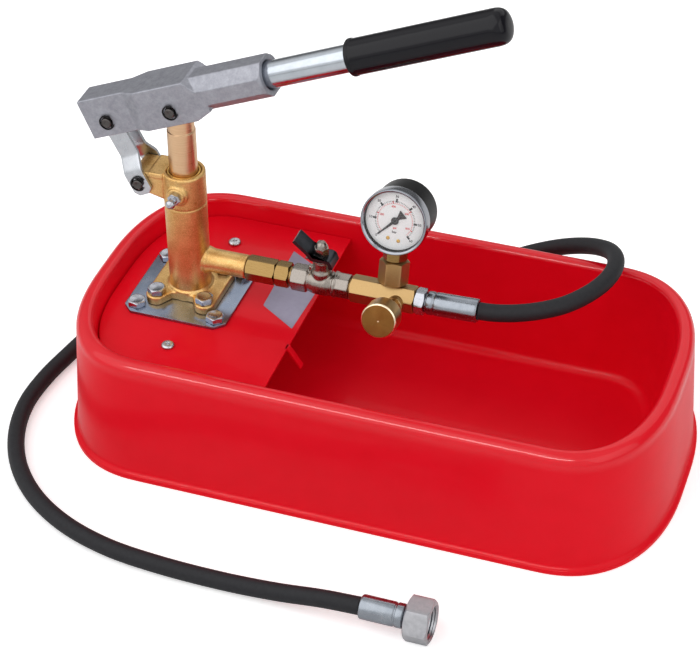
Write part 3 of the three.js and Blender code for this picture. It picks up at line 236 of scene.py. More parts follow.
# Hose. A black rubber pressure hose with a wrapped, finely marked cover, 930 mm long between
# its two pressed ferrules. It leaves the line towards the basin's far wall, bends down behind
# the tank and lies round its left end and front on the floor.
hose_radius = 5.25
hose_points = [
    (58.7, 0, 98.2), (67, 0.4, 98.6), (80, 3.2, 99.4), (93, 8.8, 100.3), (105, 17.6, 100.9),
    (115, 31, 101), (121.8, 47, 100.5), (124, 63, 99), (121.8, 78, 96.2), (115.5, 91, 91.6),
    (105, 101.5, 85.3), (92, 109.8, 77.6), (78, 115.4, 69.4), (62, 119, 59.8), (44, 121, 48.6),
    (25, 121.6, 37), (5, 121.2, 25.4), (-15, 120.2, 15.4), (-36, 118.8, 8.6), (-58, 117.4, 5.8),
    (-90, 116, 5.4), (-122, 114.5, 5.4), (-150, 109, 5.4), (-172, 96.5, 5.4), (-187.5, 76, 5.4),
    (-197, 50, 5.4), (-203.5, 20, 5.4), (-209, -8, 5.4), (-213.3, -34, 5.4),
    (-213.8, -62, 5.4), (-207, -90, 5.4), (-193, -116, 5.4), (-172, -138, 5.4),
    (-145, -154.5, 5.4), (-114, -164.5, 5.4), (-80, -168.6, 5.4), (-40, -169.6, 5.4),
    (-8, -169.9, 7.4), (20, -170, 10.8), (42, -170, 12)]


def smooth_route(points, per_span):
    """Centripetal Catmull-Rom curve: each span's knots are spaced by the root of its chord,
    and its points are blended twice over from the lines through the four nearest points."""
    p = np.array(points, float)
    p = np.vstack([2 * p[0] - p[1], p, 2 * p[-1] - p[-2]])
    knot = np.concatenate([[0], np.cumsum(np.sqrt(np.linalg.norm(np.diff(p, axis=0), axis=1)))])
    q = [p[i:len(p) - 3 + i, None, :] for i in range(4)]
    k = [knot[i:len(p) - 3 + i, None, None] for i in range(4)]
    t = k[1] + (k[2] - k[1]) * np.linspace(0, 1, per_span, endpoint=False)[None, :, None]

    def line(a, b, ka, kb):
        return a * (kb - t) / (kb - ka) + b * (t - ka) / (kb - ka)

    a = [line(q[i], q[i + 1], k[i], k[i + 1]) for i in range(3)]
    b = [line(a[i], a[i + 1], k[i], k[i + 2]) for i in range(2)]
    curve = line(b[0], b[1], k[1], k[2]).reshape(-1, 3)
    return np.vstack([curve, p[-2]])


def grid_faces(rows, columns, closed_rows=False):
    """Quads over a grid of points whose columns close on themselves."""
    row = np.arange(rows if closed_rows else rows - 1)[:, None]
    column = np.arange(columns)[None, :]
    after_row, after = (row + 1) % rows, (column + 1) % columns
    quads = [row * columns + column, row * columns + after,
             after_row * columns + after, after_row * columns + column]
    return np.stack(np.broadcast_arrays(*quads), axis=-1).reshape(-1, 4)


def merged(name, shells):
    """A mesh of grids of points in millimetres, its doubles merged, which closes seams and
    poles, and its faces then turned outwards."""
    grids = [np.asarray(grid).reshape(-1, 3) for grid, _ in shells]
    points = np.vstack(grids) / 1000
    starts = np.cumsum([0] + [len(grid) for grid in grids])
    faces = []
    for (_, group), start in zip(shells, starts):
        if isinstance(group, np.ndarray):
            faces += (group + start).tolist()
        else:
            faces += [[corner + int(start) for corner in face] for face in group]
    mesh = bpy.data.meshes.new(name)
    mesh.from_pydata(points.tolist(), [], faces)
    shape = bmesh.new()
    shape.from_mesh(mesh)
    apart = 0.004 / 1000
    bmesh.ops.remove_doubles(shape, verts=shape.verts, dist=apart)
    bmesh.ops.dissolve_degenerate(shape, edges=shape.edges, dist=apart / 4)
    bmesh.ops.recalc_face_normals(shape, faces=shape.faces)
    shape.to_mesh(mesh)
    shape.free()
    return mesh


def piece(name, shells, finish, body, slot, *nodes, crease=35):
    """One smooth-shaded object from shells, which rides on a body, wears a finish and stands
    for CAD nodes; edges that turn by more than the crease stay sharp."""
    mesh = merged(name, shells)
    mesh.shade_smooth()
    mesh.set_sharp_from_angle(angle=np.radians(crease))
    mesh.materials.append(finish.owner)
    made = placed(name, mesh)
    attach(made, body)
    if nodes:
        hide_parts(*nodes)
    return made


def unit(vectors):
    """Rows of vectors, each over its own length."""
    return vectors / np.maximum(np.linalg.norm(vectors, axis=1), 1e-9)[:, None]


def tube(route, radius, around):
    """Rings round a route that is never upright: each ring lies across the route's direction,
    between the level side vector and the vector square to both. Ends close on the axis."""
    along = unit(np.gradient(route, axis=0))
    side = unit(np.cross(along, (0, 0, 1)))
    above = np.cross(side, along)
    angle = np.linspace(0, 2 * np.pi, around, endpoint=False)[None, :, None]
    outward = np.cos(angle) * side[:, None] + np.sin(angle) * above[:, None]
    rings = route[:, None] + radius * outward
    ends = np.repeat(route[[0, -1], None], around, axis=1)
    rings = np.concatenate([ends[:1], rings, ends[1:]])
    return rings, grid_faces(len(rings), around)


def mottled(name, first, second, grain, detail=2.0, rough=0.5, **sockets):
    """A finish whose colour drifts between two in a noise of so many features per metre."""
    made = Finish(name, **sockets)
    made.tint(made.noise(grain, detail, rough), first, second)
    return made


rubber = mottled("hose_rubber", (22, 22, 25), (40, 40, 44), 420, 5, 0.6, roughness=0.6,
                 specular_ior_level=0.3)
rubber.relief(rubber.noise(1500), 0.00006)
route = smooth_route(hose_points, 10)
hose = piece("hose_cover", [tube(route, hose_radius, 32)], rubber, "base", "hose_rubber", "hose",
             crease=60)

# Tank. Mild steel sheet, pressed in one piece with a rounded rim, a drafted basin and a rolled
# hem along its foot, then powder coated signal red; the coat is glossy with a faint orange peel.
tank_half = np.array([187.5, 99.25])
tank_corner = np.array([65.1, 90.8])
tank_taper = np.array([4.8, 4.2])
tank_height = 82
tank_sheet = 1.2
corner_power, corner_steps, round_steps = 2.35, 28, 8
rim_outer, rim_flat, rim_inner = 6.5, 0.6, 3.4
hem_height, hem_flare = 4, 2.5
basin_draft = np.radians(8.5)
basin_floor, basin_fillet = 8, 7
basin_top = tank_height - rim_inner


def tank_loop(inset, height):
    """Closed loops round the tank, one for each inset and height. Each corner is a quarter of
    the curve x^p + y^p = 1, p being corner_power, its reach less the taper gained by that
    height and less the inset, about the flat's end."""
    inset, height = np.broadcast_arrays(np.asarray(inset, float), np.asarray(height, float))
    rise = np.clip((height - hem_height) / (tank_height - rim_outer - hem_height), 0, 1)
    rise = np.where(inset > rim_outer, 1, rise)[..., None, None]
    reach = tank_corner - rise * tank_taper - inset[..., None, None]
    turn = np.linspace(0, np.pi / 2, corner_steps + 1)
    quarter = np.stack([np.cos(turn), np.sin(turn)], axis=-1).clip(0) ** (2 / corner_power)
    corner = tank_half - tank_corner + reach * quarter
    mirrored = corner[..., ::-1, :]
    loop = np.concatenate([corner, mirrored * (-1, 1), -corner, mirrored * (1, -1)], axis=-2)
    level = np.broadcast_to(height[..., None, None], (*loop.shape[:-1], 1))
    return np.concatenate([loop, level], axis=-1)


def basin_inset(height):
    """How far the basin's wall stands in from the rim's outside at a height."""
    return rim_outer + rim_flat + rim_inner + (basin_top - height) * np.tan(basin_draft)


def round_between(inset, height, radius, start, end):
    """A round in the sheet's section: insets and heights at equal angles about its centre."""
    turn = np.linspace(start, end, round_steps + 1)
    return np.stack([inset - radius * np.cos(turn), height + radius * np.sin(turn)], axis=-1)


def sheet_face(offset):
    """One face of the tank's sheet from the skirt over the rim down to the basin's floor."""
    low = basin_floor + basin_fillet
    foot = basin_inset(low - basin_fillet * np.sin(basin_draft))
    foot += basin_fillet * np.cos(basin_draft)
    return np.concatenate([
        round_between(rim_outer, tank_height - rim_outer, rim_outer - offset, 0, np.pi / 2),
        round_between(rim_outer + rim_flat, basin_top, rim_inner - offset,
                      np.pi / 2, np.pi - basin_draft),
        round_between(foot, low, basin_fillet + offset, -basin_draft, -np.pi / 2)])


def rounded(corners, radius, steps=3, closed=False):
    """Each corner becomes a quadratic curve, from one radius before it to one radius after it
    and no more than 0.45 of the way along either edge."""
    p = np.array(corners, float)
    before, after = np.roll(p, 1, axis=0), np.roll(p, -1, axis=0)

    def cut(q):
        reach = np.maximum(np.linalg.norm(q - p, axis=1), 1e-9)
        return (p + (q - p) * np.minimum(radius / reach, 0.45)[:, None])[:, None]

    t = np.linspace(0, 1, steps + 1)[None, :, None]
    curve = (1 - t) ** 2 * cut(before) + 2 * t * (1 - t) * p[:, None] + t ** 2 * cut(after)
    if closed:
        return curve.reshape(-1, p.shape[1])
    return np.vstack([p[:1], curve[1:-1].reshape(-1, p.shape[1]), p[-1:]])


hem = rounded([
    (tank_sheet, 0), (-hem_flare, 0), (-hem_flare, hem_height - tank_sheet / 2),
    (tank_sheet - hem_flare, hem_height), (0, hem_height + 1.4), (0, hem_height + 3)], 0.9)
section = np.concatenate([hem, sheet_face(0)])
inner_foot = [(tank_sheet, hem_height + 1), (tank_sheet, 0)]
inner = np.concatenate([sheet_face(tank_sheet)[::-1], inner_foot])
outer_rings, inner_rings = tank_loop(*section.T), tank_loop(*inner.T)
middles = [np.broadcast_to([0, 0, level], outer_rings[:1].shape)
           for level in (basin_floor, basin_floor - tank_sheet)]
tank_rings = np.concatenate([outer_rings, *middles, inner_rings])
tank_grid = (tank_rings, grid_faces(*tank_rings.shape[:2], closed_rows=True))

paint = mottled("red_paint", (228, 5, 27), (238, 9, 34), 60, 3, roughness=0.34,
                specular_ior_level=0.09)
paint.relief(paint.noise(700, 1), 0.00004)
# The coat gleams most on the rim's round and least on the walls
paint.give("Coat Weight", paint.between(paint.height(), 0.0715, 0.076, 0.1, 0.55))
paint.give("Coat Roughness", 0.07)
tank = piece("tank_pressing", [tank_grid], paint, "base", "red_paint", "tank", crease=50)
# A strip lamp that only the tank mirrors draws the bright line along its rim
lit_rim = bpy.data.collections.new("lit_rim")
lit_rim.objects.link(tank)
soft_box("rim_strip", (-0.12, -0.98, 1.24), (0, -0.1, 0.08), (1.3, 0.26), 11, lit_rim)

# Cover. A flat sheet over the basin's left end, painted with the tank, with a straight free
# edge and a narrow tongue bent down from it. Two pan-head screws hold it to a bridge below.
cover_top, cover_sheet, cover_gap = 70, 1.5, 1
cover_edge = -49.1
tongue_centre, tongue_half, tongue_low = -33.5, 2.3, 57


def normals_of(outline):
    """Outward unit normals of a loop that runs anticlockwise: its direction turned right."""
    along = unit(np.roll(outline, -1, axis=0) - np.roll(outline, 1, axis=0))
    return np.stack([along[:, 1], -along[:, 0]], axis=-1)


def slab(outline, low, high, edge):
    """A plate: the outline carried from one height to another, with its edges broken by
    drawing the end loops in along the normals, half way round a quarter of a circle first; an
    n-gon closes each face."""
    outline = np.asarray(outline, float)
    inward = -edge * normals_of(outline)
    half_way = 0.29
    insets = (1, half_way, 0, 0, half_way, 1)
    levels = (low, low + half_way * edge, low + edge,
              high - edge, high - half_way * edge, high)
    loops = [np.column_stack([outline + share * inward, np.full(len(outline), level)])
             for share, level in zip(insets, levels)]
    count = len(outline)
    faces = grid_faces(len(loops), count).tolist()
    faces += [list(range(count))[::-1], list(range(5 * count, 6 * count))]
    return np.stack(loops), faces


def put(points, at, along=(0, 0, 1), across=(1, 0, 0)):
    """Points from a piece's own frame into the pump's: its Z runs along one direction, and its
    X as near to another as a square frame allows."""
    z = np.array(along, float) / np.linalg.norm(along)
    x = np.array(across, float) - np.dot(across, z) * z
    x /= np.linalg.norm(x)
    return np.asarray(at, float) + np.asarray(points, float) @ np.array([x, np.cross(z, x), z])


def set_at(shell, at, along=(0, 0, 1), across=(1, 0, 0)):
    """A shell's grid put into the pump's frame, with its faces."""
    return put(shell[0], at, along, across), shell[1]


cover_under = cover_top - cover_sheet
cover_inset = basin_inset(cover_under) + cover_gap
cover_loop = tank_loop(cover_inset, tank_height)[:, :2]
cover_curve = cover_loop[cover_loop[:, 0] < cover_edge]
cover_reach = np.abs(cover_curve[:, 1]).max()
cover_outline = np.vstack([[(cover_edge, cover_reach)], cover_curve,
                           [(cover_edge, -cover_reach)]])
tongue_side = rounded([
    (cover_edge - 2, cover_under), (cover_edge - 0.2, cover_under),
    (cover_edge + 7.5, tongue_low), (cover_edge + 9, tongue_low), (cover_edge + 0.6, cover_top),
    (cover_edge - 2, cover_top)], 0.8, closed=True)
to_front = ((0, -1, 0), (1, 0, 0))
tongue = set_at(slab(tongue_side, -tongue_half, tongue_half, 0.2), (0, tongue_centre, 0),
                *to_front)
piece("cover_sheet", [slab(cover_outline, cover_under, cover_top, 0.35), tongue], paint, "base",
      "red_paint", "cover_plate")


def dress(finish, *nodes):
    """Gives CAD nodes that stay showing this finish in every slot."""
    for node in nodes:
        for material_slot in bpy.data.objects[node].material_slots:
            material_slot.material = finish.owner


dress(paint, "cover_bridge")


def metal(name, darker, lighter, rough, grain, depth=0.00002, spread=0.08):
    """A metal whose colour and roughness drift between two values in fine grain."""
    made = Finish(name, metallic=1.0)
    drift = made.noise(grain, 4, 0.6)
    made.tint(drift, darker, lighter)
    made.dull(drift, rough - spread / 2, rough + spread / 2)
    if depth:
        made.relief(drift, depth)
    return made


def ringed(radius, angle, height):
    """Points at radii, angles and heights about the Z axis, spread over one grid."""
    grid = np.broadcast_arrays(radius * np.cos(angle), radius * np.sin(angle), height)
    return np.stack(grid, axis=-1)


def swung(profile, around, closed=False):
    """A profile of (radius, height) swung round the Z axis at equal angles."""
    radius, height = np.array(profile, float).T[:, :, None]
    angle = np.linspace(0, 2 * np.pi, around, endpoint=False)
    return ringed(radius, angle, height), grid_faces(len(profile), around, closed)


zinc_screw = metal("zinc_screws", (150, 152, 158), (214, 214, 216), 0.28, 900)
screw_profile = rounded([(0, 0), (4, 0), (4, 1.2), (3.1, 2.1), (1.1, 2.2), (0.9, 0.9),
                         (0, 0.8)], 0.5)
piece("cover_screws", [set_at(swung(screw_profile, 40), (-117.4, y, cover_top))
                       for y in (-55.3, 55.3)],
      zinc_screw, "base", "zinc", "cover_screw_front", "cover_screw_back")

# Foil. A plain silver-lilac vinyl, a tenth of a millimetre thick, cut to four sides and stuck
# on the cover under the outlet line.
foil = mottled("blank_foil", (148, 142, 164), (163, 158, 178), 300, metallic=0.35, roughness=0.34)
foil_outline = rounded([(-53, -16.5), (-50.5, 41), (-78.8, 58.6), (-77.5, 0)], 0.8, closed=True)
piece("blank_foil", [slab(foil_outline, cover_top, cover_top + 0.1, 0.04)], foil, "base", "zinc")

# Mounting plate. Bright zinc-plated steel, 2 mm thick with cropped corners; four hexagon bolts
# hold it to the cover, and four more hold the pump's foot on it.
pump_x = -124.5
plate_top, crop = 72, 6
zinc = metal("zinc_plate", (116, 128, 150), (160, 168, 182), 0.25, 140, 0.00001, 0.12)
half_x, half_y = 33, 32.5
plate_corner = [(half_x - crop, -half_y), (half_x, crop - half_y), (half_x, half_y - crop),
                (half_x - crop, half_y)]
plate_outline = rounded(np.vstack([plate_corner, -np.array(plate_corner)]), 0.8, closed=True)
piece("plate", [slab(plate_outline + (pump_x, 0), cover_top, plate_top, 0.35)], zinc, "base",
      "zinc", "mounting_plate")


def hexed(across, low, high, face_low, face_high, middle=None, sides=6, per_side=12):
    """A bar with flats, its end edges turned off at 30 degrees. The radius is the flat's over
    the cosine of the angle from its middle, held just inside the sharp corner; each chamfer's
    edge lies as deep as the radius stands out past the end face, times the tangent. Inside the
    upper face lie the (radius, height) points of middle."""
    angle = (np.arange(sides * per_side) / per_side * 2 - 1) * np.pi / sides
    folded = (angle + np.pi / sides) % (2 * np.pi / sides) - np.pi / sides
    corner_held, slope = 0.985, np.tan(np.radians(30))
    corner = across / 2 / np.cos(np.pi / sides) * corner_held
    radius = np.minimum(across / 2 / np.cos(folded), corner)
    rows = [(0, low), (np.minimum(face_low, radius), low),
            (radius, low + np.maximum(radius - face_low, 0) * slope),
            (radius, high - np.maximum(radius - face_high, 0) * slope),
            (np.minimum(face_high, radius), high), *(middle or [(0, high)])]
    grid = np.stack([ringed(radius, angle, level) for radius, level in rows])
    return grid, grid_faces(len(rows), sides * per_side)


def bolts(reach_x, reach_y, base, shank_end, turns):
    """Four hexagon bolts about the pump's axis, each turned by its own angle: a head with a
    dished crown, and its shank down through the plates."""
    head = hexed(10, 0, 4, 4.6, 4.55, [(4.0, 4.0), (3.5, 3.75), (0, 3.65)])
    tip = shank_end - base
    shank = swung([(0, tip), (2.6, tip), (3, tip + 0.5), (3, 0.5), (0, 0.5)], 24)
    shells = []
    for side_x, side_y, turn in zip((-1, 1, 1, -1), (-1, -1, 1, 1), turns):
        at = (pump_x + reach_x * side_x, reach_y * side_y, base)
        shells += [set_at(head, at, across=(np.cos(turn), np.sin(turn), 0)), set_at(shank, at)]
    return shells


bolt_zinc = metal("bolt_zinc", (146, 148, 156), (200, 201, 208), 0.24, 500, 0.00003, 0.14)
piece("plate_bolts", bolts(25.5, 25, plate_top, 62, (0.35, 1.2, 0.1, 0.8)), bolt_zinc, "base",
      "zinc", "plate_bolt_1", "plate_bolt_2", "plate_bolt_3", "plate_bolt_4")
flange_top = 77.5
ear_x, ear_y, ear_radius = 15.5, 16.6, 6.6
piece("flange_bolts", bolts(ear_x, ear_y, flange_top, 67, (0.9, 0.15, 0.6, 0.3)), bolt_zinc,
      "base", "zinc", "flange_bolt_1", "flange_bolt_2", "flange_bolt_3", "flange_bolt_4")
dress(bolt_zinc, "plate_nut_1", "plate_nut_2", "plate_nut_3", "plate_nut_4", "suction_tube",
      "suction_ball", "discharge_ball")

# Pump body. Sand-cast brass: a column on a four-eared foot, with a lug for the links, a boss
# for the grease nipple and the outlet nozzle; tumbled to a satin, rougher above the ring line.
column_radius, column_top, ring_line = 12.75, 160, 138
line_height, nipple_height = 97, 149
body_pin = (-148.653, 0, 152.642)


def read_mesh(mesh, per_face):
    """A mesh's points in millimetres, and its faces by so many corners each."""
    points = np.empty(3 * len(mesh.vertices), np.float32)
    mesh.vertices.foreach_get("co", points)
    corners = np.empty(len(mesh.loops), np.int32)
    mesh.loops.foreach_get("vertex_index", corners)
    return points.reshape(-1, 3) * 1000.0, corners.reshape(-1, per_face)


def fused(shells, voxel, rounds):
    """Closed shells that overlap, cast into one: a skin of voxel squares round all of them,
    each point then drawn towards the middle of its neighbours, so that corners soften and
    inside corners fill."""
    rough = placed("rough", merged("rough", shells))
    skin = rough.modifiers.new("skin", "REMESH")
    skin.mode = "VOXEL"
    skin.voxel_size = voxel / 1000
    relax = rough.modifiers.new("relax", "SMOOTH")
    relax.factor, relax.iterations = 0.5, rounds
    cast = rough.evaluated_get(bpy.context.evaluated_depsgraph_get()).to_mesh()
    shell = read_mesh(cast, 4)
    bpy.data.objects.remove(rough)
    return shell


def arc(centre, radius, start, end, steps):
    """Points on a circle at equal angles from one to another, in degrees."""
    turn = np.radians(np.linspace(start, end, steps + 1))
    return np.array(centre) + radius * np.stack([np.cos(turn), np.sin(turn)], axis=-1)


def foot_outline():
    """Round ears about the four bolts. Their ends join in straight sides along Y, and in notches
    at the front and back that run to a blunt point between the ears."""
    notch = [(6.8, 14), (2.2, 13.6)]
    quarter = np.vstack([arc((ear_x, ear_y), ear_radius, 0, 130, 30), notch])
    half = np.vstack([quarter, quarter[::-1] * (-1, 1)])
    return np.vstack([half, -half])


column = swung([
    (0, plate_top), (14, plate_top), (14, flange_top), (13.9, flange_top + 0.7),
    (13.4, flange_top + 1.2), (column_radius, flange_top + 1.5),
    (column_radius, ring_line - 0.7), (column_radius - 0.5, ring_line - 0.3),
    (column_radius - 0.5, ring_line + 0.2), (column_radius + 0.15, ring_line + 0.6),
    (column_radius + 0.15, column_top - 1), (column_radius - 0.8, column_top),
    (10.9, column_top), (10.5, column_top - 0.6), (10.5, column_top - 5), (0, column_top - 5)], 72)
nozzle = swung([(0, 2), (7.8, 2), (7.8, 11.6), (8.3, 12.6), (7.9, 13.6), (7.6, 14.6), (7.3, 17),
                (7.3, 37.7), (6.7, 38.3), (0, 38.3)], 48)
lug_side = np.vstack([
    arc((body_pin[0], body_pin[2]), 6.9, 90, 262, 24),
    [(body_pin[0] + 3, body_pin[2] - 7.2), (-134, 142.6), (-134, 159.5), (body_pin[0], 159.5)]])
lug = slab(lug_side, -10, 10, 0.8)
lug_lip = slab([(-144.5, 156.8), (-134, 156.8), (-134, 160.2), (-142.8, 160.2)], -10.3, 10.3, 0.5)
nipple_at = (pump_x, 0, nipple_height)
boss = [(0, 9), (6.1, 9), (6.1, 12.8), (5.6, 13.6), (5.4, 14.6), (4.9, 15), (0, 15)]
boss_collar = [(0, 9), (6.9, 9), (6.9, 12.7), (6.2, 13.3), (0, 13.3)]
body_shells = [set_at(column, (pump_x, 0, 0)),
               slab(foot_outline() + (pump_x, 0), plate_top, flange_top, 0.9),
               set_at(nozzle, (pump_x, 0, line_height), (1, 0, 0), (0, 1, 0)),
               set_at(lug, (0, 0, 0), *to_front), set_at(lug_lip, (0, 0, 0), *to_front),
               set_at(swung(boss, 40), nipple_at, *to_front),
               set_at(swung(boss_collar, 40), nipple_at, *to_front)]

casting = Finish("cast_brass", metallic=0.94)
grain = casting.noise(1100, 5, 0.7)
cloud = casting.noise(90, 3)
raw = casting.between(casting.height(), (ring_line - 1.5) / 1000, (ring_line + 1.5) / 1000)
speck = casting.between(casting.noise(900), 0.66, 0.74)
tone = casting.mix(casting.between(cloud, 0.3, 0.7), linear(194, 148, 82), linear(226, 186, 122))
tone = casting.mix(speck * (raw * 0.4 + 0.35), tone, linear(104, 66, 30))
# Painted glints: pale flecks in the base colour stand for sparkles of light off the grain
painted_glint = casting.between(casting.noise(1500), 0.45, 0.68)
tone = casting.mix(painted_glint * 0.5, tone, linear(252, 216, 156))
casting.give("Base Color", tone)
casting.give("Roughness", casting.between(grain, 0.3, 0.7, 0.34, 0.46) + raw * 0.04)
casting.relief(grain, 0.0001)
piece("pump_casting", [fused(body_shells, 0.42, 3)], casting, "base", "cast_brass", "pump_body",
      crease=60)

# Piston and gland. The piston is ground tin bronze, a little smaller where it enters the
# lever's fork; a turned brass gland ring and a packing guide it in the top of the body.
bronze = Finish("piston_bronze", metallic=1.0)
ground = bronze.noise(30, 3, 0.6, bronze.stretched((1, 1, 60)))
bronze.tint(ground, (208, 166, 126), (232, 198, 160))
bronze.dull(ground, 0.27, 0.37)
piston_profile = rounded([(0, 107.5), (8.2, 107.5), (8.5, 107.8), (8.5, 188.1), (7.9, 188.5),
                          (7.9, 213.9), (7.3, 214.5), (0, 214.5)], 0.3)
piece("piston_ram", [set_at(swung(piston_profile, 72), (pump_x, 0, 0))], bronze, "ram",
      "piston_bronze", "piston")
turned_brass = metal("turned_brass", (186, 142, 70), (220, 180, 104), 0.24, 700, 0.00001)
gland_profile = rounded([(8.75, 145), (10.2, 145), (10.2, 159.3), (9.9, 159.6), (9.1, 159.6),
                         (8.75, 159.2)], 0.25, closed=True)
piece("gland", [set_at(swung(gland_profile, 64, True), (pump_x, 0, 0))], turned_brass, "base",
      "bright_brass", "gland_ring")
packing = mottled("packing", (22, 22, 22), (38, 38, 36), 500, roughness=0.75)
dress(packing, "piston_seal")

# Grease nipple. Zinc-plated steel, screwed into its boss, with a hexagon, a waist and the ball
# head that a grease gun grips.
nipple_profile = rounded([
    (0, -4), (2.2, -4), (2.2, 0.5), (2.0, 2.6), (2.4, 3.4), (1.75, 4.6), (1.7, 5.6), (2.9, 7.0),
    (2.9, 8.1), (1.5, 9.6), (0.5, 9.8), (0.4, 9.4), (0, 9.4)], 0.4)
nipple_shells = [hexed(7, -0.1, 3, 3.2, 3.1, [(2.4, 3.0), (2.2, 3.2), (0, 3.2)]),
                 swung(nipple_profile, 40)]
piece("nipple", [set_at(shell, (pump_x, -15, nipple_height), (0, -1, 0), (1, 0, 0.3))
                 for shell in nipple_shells], bolt_zinc, "base", "zinc", "grease_nipple")

# Lever. A cast head with a forked end over the piston and an eight-sided socket, satin grey from
# shot blasting; a zinc-plated steel tube is pressed into it, with a dipped black vinyl grip.
piston_pin = np.array([pump_x, 0, 207.5])
tilt = np.radians(22.6)
lever_along = np.array([np.cos(tilt), 0, np.sin(tilt)])
lever_above = np.array([-np.sin(tilt), 0, np.cos(tilt)])
socket_axis, tube_end = 4.1, 202.1


def taken(node, at, along, across):
    """A CAD node's triangles in a piece's own frame: the reverse of put."""
    points, corners = read_mesh(bpy.data.objects[node].data, 3)
    return (points - at) @ put(np.eye(3), (0, 0, 0), along, across).T, corners


def on_lever(shell):
    """A shell made along the lever, with X along it, Z across it, moved to its place."""
    return set_at(shell, piston_pin, lever_above, lever_along)


blasted = Finish("blasted_casting", metallic=0.9)
pitted = blasted.noise(1000, 5, 0.7)
stain = blasted.noise(260, 6, 0.75)
blasted.tint(blasted.between(stain, 0.3, 0.7), (146, 147, 155), (173, 174, 182))
blasted.dull(pitted, 0.44, 0.58)
blasted.relief(pitted, 0.00008)
head_skin = fused([taken("lever_head", piston_pin, lever_above, lever_along)], 0.5, 2)
piece("lever_casting", [on_lever(head_skin)], blasted, "lever", "cast_aluminium", "lever_head",
      crease=60)

plated = metal("plated_tube", (166, 173, 181), (200, 205, 211), 0.17, 120, 0, 0.06)
tube_profile = rounded([(6.5, 29.3), (8, 29.3), (8, tube_end), (6.5, tube_end)], 0.4, closed=True)


def along_lever(profile, around, closed=False):
    """A turned piece on the lever tube's axis, by its heights along the lever."""
    at = piston_pin + socket_axis * lever_above
    return set_at(swung(profile, around, closed), at, lever_along, lever_above)


piece("plated_tube", [along_lever(tube_profile, 72, True)], plated, "lever", "bright_tube",
      "lever_tube")
vinyl = mottled("dipped_vinyl", (10, 9, 15), (18, 17, 24), 55, 3, roughness=0.16,
                specular_ior_level=0.24)
vinyl.relief(vinyl.noise(35), 0.0003)
grip_end = tube_end + 0.3
grip_profile = rounded([
    (8.3, grip_end), (8.3, 116), (10.9, 116), (10.9, 118), (10.45, 118.8), (10.5, 205.4),
    (10.1, 208.2), (8.9, 210.6), (6.4, 212), (3, 212.4), (0, 212.4)], 1.4, 6)
piece("vinyl_grip", [along_lever(np.vstack([[(0, grip_end)], grip_profile]), 64)], vinyl, "lever",
      "black_grip", "lever_grip", crease=40)

# Links and pins. Two zinc-plated straps, joggled to fit the lever's fork above and the body's
# lug below, swing on blackened steel pins; each pin has a groove with a spring clip at its front.
blackened = metal("blackened_steel", (28, 27, 28), (52, 50, 50), 0.36, 800)
pin_steel = metal("pin_steel", (66, 63, 62), (100, 96, 94), 0.38, 800)


def pin(front, back, head=True):
    """A pin from its upset head at the back to its chamfered nose at the front, along Z."""
    start = [(0, -back - 1.7), (3.9, -back - 1.7), (4.3, -back - 1.3), (4.3, -back - 0.3),
             (3, -back - 0.3)] if head else [(0, -back), (3, -back)]
    profile = start + [
        (3, front + 0.45), (2.5, front + 0.5), (2.5, front + 1.3), (3, front + 1.35),
        (3, front + 1.8), (2.6, front + 2.2), (1.4, front + 2.2), (1.1, front + 2.05),
        (0, front + 2.05)]
    return swung(profile, 40)


def spring_clip(base, turn):
    """An open ring with three prongs inward and a mouth, stamped from 0.9 mm strip."""
    outer, inner, prong_length, strip = 4.75, 4.0, 0.95, 0.9
    angle = np.linspace(-140, 140, 113)
    prong = np.clip(1.6 - np.abs(angle) / 14, 0, 1)
    prong += np.clip(1.6 - np.abs(np.abs(angle) - 126) / 9, 0, 1)
    swing = np.radians(angle + turn)[:, None]
    ring = np.concatenate([np.cos(swing), np.sin(swing)], axis=1)
    inner_edge = ring * (inner - prong_length * prong)[:, None]
    return slab(np.vstack([ring * outer, inner_edge[::-1]]), base, base + strip, 0.12)


def across_lever(shell, along=0.0):
    """A shell whose Z points to the front, on the lever at a distance along it."""
    return set_at(shell, piston_pin + along * lever_along, (0, -1, 0), lever_along)


link_pin_along = -46.2
back_stub = swung([(0, -11.2), (2.5, -11.2), (3, -10.7), (3, -6.8), (0, -6.8)], 40)
piece("lever_pins", [across_lever(pin(13.5, 13.5)),
                     across_lever(pin(9, -6.8, head=False), link_pin_along),
                     across_lever(back_stub, link_pin_along)],
      pin_steel, "lever", "black_steel", "piston_pin", "link_pin_front", "link_pin_back")
piece("lever_clips", [across_lever(spring_clip(14.0, 195)),
                      across_lever(spring_clip(9.5, 180), link_pin_along)],
      blackened, "lever", "black_steel", "piston_pin_clip", "link_pin_clip")
piece("foot_pin", [set_at(pin(12.5, 12.5), body_pin, *to_front)], pin_steel, "base",
      "black_steel", "body_pin")
piece("foot_pin_clip", [set_at(spring_clip(13.0, 175), body_pin, *to_front)], blackened, "base",
      "black_steel", "body_pin_clip")

lean = np.radians(26.5)
link_along = (-np.sin(lean), 0, np.cos(lean))
link_across = (np.cos(lean), 0, np.sin(lean))


